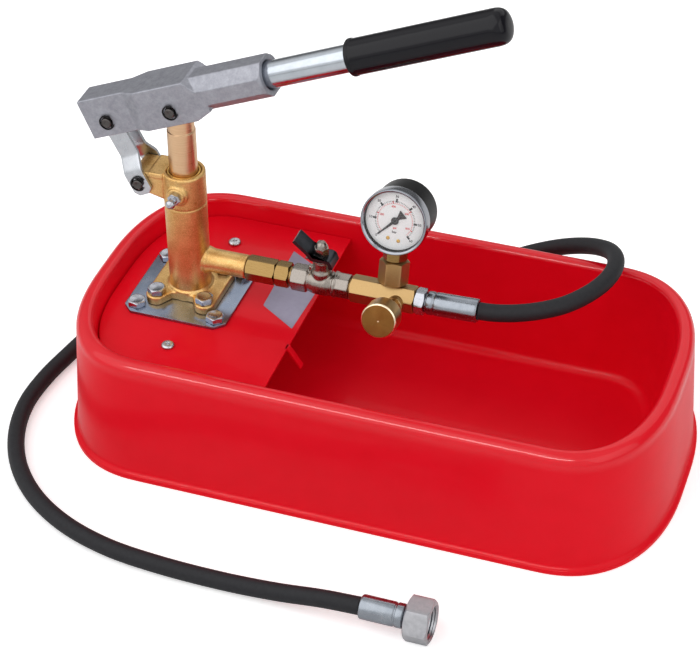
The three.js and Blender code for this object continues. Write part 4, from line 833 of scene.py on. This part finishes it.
def strap(side):
    """A joggled strap from its cropped foot to its round head, s being the way along it. Its
    centre line is a bent line with rounded corners in s and y; at each station a rounded
    rectangle, as wide as the plan there, lies across that line."""
    foot, eye_at, eye_radius, low_out, high_out, half_thick = -8, 41.46, 6.2, 11.4, 5.4, 1.1
    bend = rounded([(foot, low_out), (7.3, low_out), (16.3, high_out),
                    (eye_at + eye_radius, high_out)], 1.5, 6)
    s = np.concatenate([np.linspace(foot, -5.2, 6), np.linspace(-4, 40, 60),
                        eye_at + 6.18 * np.sin(np.linspace(0.05, np.pi / 2 * 0.985, 14))])
    y = np.interp(s, bend[:, 0], bend[:, 1])
    circle = np.sqrt(np.clip(1 - ((s - eye_at) / eye_radius) ** 2, 0, 1))
    half = np.where(s > eye_at, eye_radius * circle, np.clip(3.5 + (s - foot), 3.5, eye_radius))
    slope = np.gradient(y, s)
    normal = np.stack([-slope, np.ones_like(slope)], axis=-1) / np.sqrt(1 + slope ** 2)[:, None]
    loop = rounded([(-1, -1), (1, -1), (1, 1), (-1, 1)], 0.22, 3, closed=True)
    thick = half_thick * loop[None, :, 1, None] * normal[:, None]
    grid = np.stack([half[:, None] * loop[None, :, 0],
                     side * (y[:, None] + thick[..., 1]), s[:, None] + thick[..., 0]], axis=-1)
    count = len(loop)
    faces = grid_faces(len(s), count).tolist()
    faces += [list(range(count)), list(range((len(s) - 1) * count, len(s) * count))]
    return set_at((grid, faces), body_pin, link_along, link_across)


strap_zinc = metal("strap_zinc", (172, 176, 182), (206, 208, 212), 0.3, 260, 0.00001, 0.12)
for side, node in ((-1, "link_front"), (1, "link_back")):
    piece(node + "_strap", [strap(side)], strap_zinc, "links", "zinc", node, crease=30)

# Outlet fittings. A hexagon adaptor and a lock nut, turned from brass bar, join the nozzle to
# the valve; a ring of the adaptor's spigot shows bright between the nut and the valve.
outlet = (0, 0, line_height)
adaptor_start, adaptor_end, spigot_end = -85.9, -67.7, -53.2
lock_start, lock_end = -67.4, -58.8
line_turn = np.radians(40)
flat_facing = (0, -np.cos(line_turn), np.sin(line_turn))


def in_line(shell, across=flat_facing):
    """A shell made along Z, laid along X on the outlet line."""
    return set_at(shell, outlet, (1, 0, 0), across)


bar_brass = Finish("bar_brass", metallic=1.0)
drawn = bar_brass.noise(24, 4, 0.65, bar_brass.stretched((8, 220, 220)))
bar_brass.tint(bar_brass.between(drawn, 0.3, 0.7), (136, 109, 64), (156, 127, 82))
bar_brass.dull(drawn, 0.24, 0.32)
bar_brass.relief(bar_brass.noise(1800), 0.000004)
spigot = [(6.2, adaptor_end), (5.7, adaptor_end + 0.4), (5.7, spigot_end), (0, spigot_end)]
piece("adaptor", [in_line(hexed(14, adaptor_start, adaptor_end, 7.0, 7.0, spigot))], bar_brass,
      "base", "bright_brass", "outlet_adaptor")
piece("lock_nut", [in_line(hexed(14, lock_start, lock_end, 6.9, 6.9))], bar_brass, "base",
      "bright_brass", "adaptor_nut")

# Ball valve. The body is nickel-plated cast brass, a hexagon and an eight-sided end on a round
# belly with an upright stem boss; the butterfly handle is bent from grey steel and turns with
# the stem under a domed nut.
stem = (-39, 0, line_height)
valve_start, valve_end, valve_flats = -57.1, -20.9, 14.8
nickel = Finish("satin_nickel", metallic=1.0)
sand = nickel.noise(900, 4, 0.7)
nickel.tint(sand, (124, 117, 111), (166, 158, 150))
nickel.dull(sand, 0.22, 0.34)
nickel.relief(sand, 0.000012)
belly = swung([(0, -48.2), (6.9, -48.2), (6.9, -46.8), (7.4, -45.4), (8.0, -43), (8.15, -39),
               (8.0, -35.2), (7.2, -32.4), (6.9, -31.2), (8.1, -31), (8.1, -29.5), (7.6, -29.1),
               (0, -29.1)], 56)
stem_boss = swung([(0, 0), (6.6, 0), (6.4, 8.5), (5.4, 10.4), (5.2, 11.6), (5.2, 15.9),
                   (4.7, 16.5), (0, 16.5)], 48)
stop_stud = swung([(0, 0), (1.9, 0), (1.8, 10.6), (1.3, 11), (0, 11)], 24)
valve_skin = fused([in_line(hexed(valve_flats, valve_start, -47.2, 7.4, 7.4)), in_line(belly),
                    in_line(hexed(valve_flats, -30.3, valve_end, 7.4, 7.3, sides=8)),
                    set_at(stem_boss, stem), set_at(stop_stud, (-45.6, 0, line_height))], 0.32, 6)
piece("valve_casting", [valve_skin], nickel, "base", "nickel", "valve_body", crease=60)
stop_outline = np.vstack([arc((0, 0), 6.2, -150, 150, 40), [(-9.2, 3), (-9.2, -3)]])
piece("stop_plate", [set_at(slab(stop_outline, 16.8, 17.8, 0.15), stem)], nickel, "valve",
      "nickel", "valve_stop_plate")


def bent_strip(path, thick, width, bend):
    """A strip of sheet bent along a path in X and Z: both faces are the path's rounded line and
    the same line moved by the thickness along its normals, carried across the width."""
    line = rounded(path, bend, 6)
    along = unit(np.gradient(line, axis=0))
    upper = line + thick * np.stack([-along[:, 1], along[:, 0]], axis=-1)
    outline = np.vstack([line[::-1], upper])
    return set_at(slab(outline, -width / 2, width / 2, 0.25), (0, 0, 0), *to_front)


handle_grey = metal("handle_grey", (52, 53, 57), (80, 82, 88), 0.34, 300, 0.00001, 0.1)
handle_path = [(-16, 29.4), (-7.6, 22.0), (-5, 18.4), (5.6, 18.4), (7.0, 14.2)]
piece("butterfly", [set_at(bent_strip(handle_path, 1.8, 12, 0.9), stem)], handle_grey, "valve",
      "dark_handle", "valve_handle")
dome = [(3.6, 25.7), (3.3, 27.2), (2.4, 28.8), (1.1, 29.6), (0, 29.7)]
cap = [hexed(8, 20.2, 25.7, 4.2, 3.9, dome),
       swung([(0, 16.6), (2.5, 16.6), (2.5, 20.6), (0, 20.6)], 24)]
piece("cap_nut", [set_at(shell, stem, across=(0.9, 0.5, 0)) for shell in cap], nickel, "valve",
      "nickel", "valve_handle_nut", "valve_stem")
dress(bolt_zinc, "valve_ball")

# Tee and bleed screw. The tee is milled from hexagon brass bar with two turned bosses, and
# leans back by 16 degrees with the gauge on it; the bleed screw's knob has a faced front.
tee_lean = np.radians(16)
tee_front = np.array([0, -np.cos(tee_lean), np.sin(tee_lean)])
tee_up = np.array([0, np.sin(tee_lean), np.cos(tee_lean)])
gauge_x, bleed_x, tee_half = 4.6, 9.6, 19.8


def on_tee(shell, x, along, across=(1, 0, 0)):
    """A shell made along Z, set on the tee at a distance along it, facing one way."""
    return set_at(shell, (x, 0, line_height), along, across)


milled = metal("milled_brass", (158, 127, 80), (196, 165, 118), 0.4, 2200, 0.00006, 0.12)
boss_turn = np.radians(16.6)
boss_flat = np.array([np.cos(boss_turn), 0, 0]) + np.sin(boss_turn) * tee_front
bleed_boss = swung(rounded([(0, 2), (5.2, 2), (5.2, 12.1), (4.8, 12.5), (0, 12.5)], 0.3), 64)
piece("tee", [in_line(hexed(15, -tee_half, tee_half, 7.5, 7.5, per_side=16), tee_up),
              on_tee(swung([(0, 2), (4.8, 2), (4.8, 9.2), (0, 9.2)], 48), gauge_x, tee_up),
              on_tee(hexed(16, 7.7, 22.8, 6.9, 7.6), gauge_x, tee_up, boss_flat),
              set_at(bleed_boss, (bleed_x, 0, line_height) - 1.8 * tee_up, tee_front),
              in_line(swung([(0, -24.9), (5.2, -24.9), (5.7, -24.4), (5.7, -19), (0, -19)], 40))],
      milled, "base", "bright_brass", "tee_block")

faced = Finish("faced_brass", metallic=1.0)
knob_back, knob_front, knob_radius = 29.6, 42.5, 10.6
knob_centre = (bleed_x / 1000, 0.0, line_height / 1000)
offset = faced.vector("SUBTRACT", faced.place(), knob_centre)
sideways = faced.vector("CROSS_PRODUCT", offset, tee_front)
turns = faced.vector("LENGTH", sideways, output="Value") * 15000
cuts = turns.calculate("SINE", turns)
depth = faced.vector("DOT_PRODUCT", offset, tee_front, "Value")
face = faced.between(depth, (knob_front - 0.15) / 1000, (knob_front - 0.05) / 1000)
worn = faced.noise(160, 3)
# Painted shade: the faced front gets a darker brass than the side of the same knob
side_tone = faced.mix(worn, linear(176, 136, 80), linear(204, 166, 110))
shaded_face_tone = faced.mix(worn, linear(120, 78, 36), linear(148, 102, 54))
# Painted highlight: the chamfer band round the front is coloured near white
edge = faced.between(depth, (knob_front - 1) / 1000, (knob_front - 0.8) / 1000) - face
tone = faced.mix(edge, faced.mix(face, side_tone, shaded_face_tone), linear(250, 232, 200))
faced.give("Base Color", tone)
faced.give("Roughness", faced.between(cuts, -1, 1, 0.2, 0.32))
faced.relief(faced.between(cuts, -1, 1), 0.00003)
knob_profile = rounded([
    (0, 12), (3.6, 12), (3.6, knob_back), (knob_radius - 0.7, knob_back),
    (knob_radius, knob_back + 0.7), (knob_radius, knob_front - 0.8),
    (knob_radius - 0.8, knob_front), (0.5, knob_front), (0.3, knob_front - 0.2),
    (0, knob_front - 0.2)], 0.3, 4)
piece("bleed_screw_knob", [on_tee(swung(knob_profile, 80), bleed_x, tee_front)], faced,
      "bleed_screw", "bright_brass", "bleed_knob")

# Gauge. A 40 mm pressure gauge: black steel case, grey ring, clear window, white printed dial
# with a bar scale outside and a psi scale inside, brass movement screws and a black pointer.
gauge_at = (gauge_x, 0, line_height) + 49.6 * tee_up
can_radius, ring_radius, card_radius, glass_radius = 18.8, 20.1, 17.9, 18.6


def on_gauge(shell):
    """A shell made facing up, set on the gauge facing the front, its Y along the stem."""
    return set_at(shell, gauge_at, tee_front, (1, 0, 0))


stem_shells = [hexed(13, 23.1, 29.2, 6.5, 6.5, [(3.4, 29.2), (3.4, 30.4), (0, 30.4)]),
               swung([(0, 14.1), (4.5, 14.1), (4.5, 23.4), (0, 23.4)], 32)]
piece("gauge_stem_hex", [on_tee(shell, gauge_x, tee_up, (1, -0.5, 0)) for shell in stem_shells],
      bar_brass, "base", "bright_brass", "gauge_stem")
enamel = mottled("black_enamel", (6, 6, 7), (14, 14, 15), 200, 3, roughness=0.34,
                 specular_ior_level=0.12)
enamel.relief(enamel.noise(600, 1), 0.00003)
case_profile = rounded([
    (0, -17.5), (16.9, -17.5), (can_radius, -15.5), (can_radius, 3.7), (glass_radius, 3.7),
    (glass_radius, 9.2), (18.2, 9.2), (18.2, 7), (0, 7)], 0.3, 5)
piece("gauge_can", [on_gauge(swung(case_profile, 96))], enamel, "base", "case_black",
      "gauge_case")
ring_grey = mottled("ring_grey", (140, 143, 150), (164, 167, 174), 90, 3, metallic=1.0,
                    roughness=0.16)
bezel_profile = rounded([
    (can_radius, 4), (ring_radius, 4), (ring_radius, 11.3), (ring_radius - 0.3, 11.9),
    (19.2, 11.9), (18.3, 11.2), (18.1, 10.7), (can_radius, 10.7)], 0.2, 4, closed=True)
piece("gauge_ring", [on_gauge(swung(bezel_profile, 96, True))], ring_grey, "base", "bezel_grey",
      "gauge_bezel")
window = mottled("gauge_window", (250, 252, 255), (255, 255, 255), 20, roughness=0.03,
                 alpha=0.035)
glass_profile = rounded([(0, 9.4), (glass_radius, 9.4), (glass_radius, 10.5), (0, 10.5)], 0.2)
piece("gauge_glass", [on_gauge(swung(glass_profile, 96))], window, "base", "clear_lens",
      "gauge_lens")
card = mottled("dial_card", (246, 247, 248), (252, 252, 252), 400, roughness=0.55)
dial_face, print_thick = 8.0, 0.05
dial_profile = rounded([(0, 7.2), (card_radius, 7.2), (card_radius, dial_face),
                        (0, dial_face)], 0.15)
piece("gauge_card", [on_gauge(swung(dial_profile, 96))], card, "base", "dial_white", "gauge_dial")


def marks(angles, inner_end, outer_end, wide):
    """Bars printed on the dial: each lies along the X axis from one radius to another, and is
    turned by its angle in degrees."""
    turn = np.radians(np.asarray(angles, float))[:, None, None]
    out = np.array([inner_end, outer_end, outer_end, inner_end])[None, :, None]
    aside = np.array([-wide, -wide, wide, wide])[None, :, None] / 2
    low = np.concatenate([out * np.cos(turn) - aside * np.sin(turn),
                          out * np.sin(turn) + aside * np.cos(turn),
                          np.full((len(turn), 4, 1), dial_face)], axis=-1)
    box = np.concatenate([low, low + (0, 0, print_thick)], axis=1)
    side = np.array([(3, 2, 1, 0), (4, 5, 6, 7), (0, 1, 5, 4), (1, 2, 6, 5), (2, 3, 7, 6),
                     (3, 0, 4, 7)])
    return box, (np.arange(len(box))[:, None, None] * 8 + side).reshape(-1, 4)


def printed(text, centre, size):
    """Figures as a thin mesh, their middle on a point of the dial."""
    font = bpy.data.curves.new("figures", "FONT")
    font.body, font.size, font.extrude = text, size, print_thick / 2
    font.offset = 0.02 * size
    font.align_x, font.align_y = "CENTER", "CENTER"
    font.resolution_u = 3
    holder = placed("figures", font)
    flat = holder.evaluated_get(bpy.context.evaluated_depsgraph_get()).to_mesh()
    points = np.empty(3 * len(flat.vertices), np.float32)
    flat.vertices.foreach_get("co", points)
    faces = [list(face.vertices) for face in flat.polygons]
    bpy.data.objects.remove(holder)
    return points.reshape(-1, 3) + (*centre, dial_face + print_thick / 2), faces


def polar(radius, angle):
    """A point of the dial by its radius and its angle in degrees."""
    return radius * np.cos(np.radians(angle)), radius * np.sin(np.radians(angle))


ink = mottled("black_print", (22, 22, 24), (36, 36, 38), 900, roughness=0.5)
red_ink = mottled("red_print", (206, 30, 34), (222, 48, 48), 900, roughness=0.5)
zero, sweep = 225, 270
bar_angles = zero - 45 * np.arange(7)
bar_print = [
    marks(bar_angles, 11.3, 13.6, 1.1), marks(zero - 4.5 * np.arange(61), 11.5, 12.3, 0.3),
    *(printed(str(10 * place), polar(14.95, angle), 2.1) for place, angle in enumerate(bar_angles)),
    printed("bar", (0.2, -6.9), 2.3)]
piece("dial_bar_scale", [on_gauge(shell) for shell in bar_print], ink, "base", "case_black")
psi_full = 870
psi_turn = sweep / psi_full
psi_print = [
    marks(zero - psi_turn * np.arange(0, psi_full + 1, 20), 10.4, 11.2, 0.24),
    marks(zero - psi_turn * np.arange(0, 801, 200), 10.4, 12, 0.6),
    marks(zero - np.arange(0, sweep + 0.1, 3), 10.35, 10.55, 0.3),
    *(printed(str(number), polar(8.65, zero - psi_turn * number), 1.75)
      for number in (200, 400, 600, 800)),
    printed("psi", (0.2, -4.3), 2.0)]
piece("dial_psi_scale", [on_gauge(shell) for shell in psi_print], red_ink, "base", "case_black")
screw_top = swung(rounded([(0, 8), (1.1, 8), (1.1, 8.4), (0.8, 8.55), (0, 8.55)], 0.15), 28)
piece("dial_screws", [on_gauge(set_at(screw_top, at)) for at in ((-3.3, -11, 0), (3.1, -11.9, 0))],
      turned_brass, "base", "bright_brass")
rest = np.radians(zero)
needle_outline = np.array([(-7, -2.7), (-6.6, -2.9), (-3.0, -1.05), (-1.6, -1), (13.8, -0.24),
                           (14.05, 0), (13.8, 0.24), (-1.6, 1), (-3.0, 1.05), (-6.6, 2.9),
                           (-7, 2.7)])
spin = np.array([(np.cos(rest), np.sin(rest)), (-np.sin(rest), np.cos(rest))])
hub = swung(rounded([(0, 8.2), (2.3, 8.2), (2.3, 8.7), (1.8, 9.1), (0, 9.1)], 0.3), 36)
piece("needle", [on_gauge(slab(needle_outline @ spin, 8.25, 8.5, 0.06)), on_gauge(hub)], ink,
      "needle", "case_black", "gauge_pointer")

# Hose ends. Zinc-plated steel sleeves crimped on the hose: the near one behind its hexagon nut
# on the tee, the far one lying on the floor in its union nut, which turns on the collar.
sleeve = metal("crimped_sleeve", (122, 128, 136), (160, 165, 172), 0.24, 200, 0.00001, 0.1)


def ferrule(start, end, groove, nose):
    """A sleeve's profile: its nose, a groove pressed in at one height and a rolled lip."""
    wall, bed, bore = 7.15, 6.7, 5.3
    return rounded([
        *nose, (6.5, start), (wall, start + 0.7), (wall, groove - 0.8), (bed, groove - 0.3),
        (bed, groove + 0.3), (wall, groove + 0.8), (wall, end - 1.2), (6.9, end - 0.4),
        (6.3, end), (bore, end), (bore, end - 2), (0, end - 2)], 0.3)


near_start, near_end = 20.1, 26.3
near_collar = [(5.2, near_end), (5.2, near_end + 0.5), (0, near_end + 0.5)]
piece("hose_nut", [in_line(hexed(14.4, near_start, near_end, 7.0, 6.8, near_collar)),
                   in_line(swung([(0, 14.8), (4.2, 14.8), (4.2, 20.4), (0, 20.4)], 32))],
      bolt_zinc, "base", "zinc", "hose_nut_near")
lift = np.radians(2)
near_profile = ferrule(0, 31.2, 4.6, [(0, 0)])
piece("near_sleeve", [set_at(swung(near_profile, 64), (27.1, 0, line_height),
                             (np.cos(lift), 0, np.sin(lift)), flat_facing)], sleeve, "base",
      "zinc", "hose_ferrule_near")
far_frame = ((0, -170, 12), (1, 0, 0), (0, 0, 1))
collar = [(0, -75.2), (7.6, -75.2), (7.6, -72.8), (5, -72.8), (5, -68)]
far_profile = ferrule(-68, -42.3, -62.8, collar) * (1, -1)
far_sleeve = piece("far_sleeve", [set_at(swung(far_profile, 64), *far_frame)], sleeve, "base",
                   "zinc", "hose_ferrule_far")


def threaded_nut():
    """The union nut: a hexagon outside, and inside it a bore whose radius follows the thread,
    a wave of one pitch along the axis that moves on by a pitch for each turn."""
    back, pitch, thread_depth, crest = 69.5, 1.814, 0.55, 9.2
    outer_skin = hexed(24, back, 84, 11.4, 11.4, [(10.4, 84), (9.6, 83.2)])[0][1:]
    angle = np.arctan2(outer_skin[0, :, 1], outer_skin[0, :, 0])
    level = np.linspace(82.8, 73.2, 90)[:, None]
    wave = np.abs(((level / pitch + angle / (2 * np.pi)) % 1) * 2 - 1)
    bore = ringed(crest + thread_depth * wave, angle, level)
    wall = [ringed(radius, angle, height)[None]
            for radius, height in ((crest, 72.5), (5.3, 72.5), (5.3, back))]
    grid = np.concatenate([outer_skin, bore, *wall])
    return grid, grid_faces(*grid.shape[:2], closed_rows=True)


nut_zinc = metal("nut_zinc", (150, 150, 154), (192, 192, 196), 0.36, 400, 0.00004, 0.16)
union_nut = piece("union", [set_at(threaded_nut(), *far_frame)], nut_zinc, "union_nut", "zinc",
                  "hose_nut_far", crease=40)
dress(turned_brass, "suction_strainer")
tuple(route[0] / 1000)
(route / 1000).tolist()
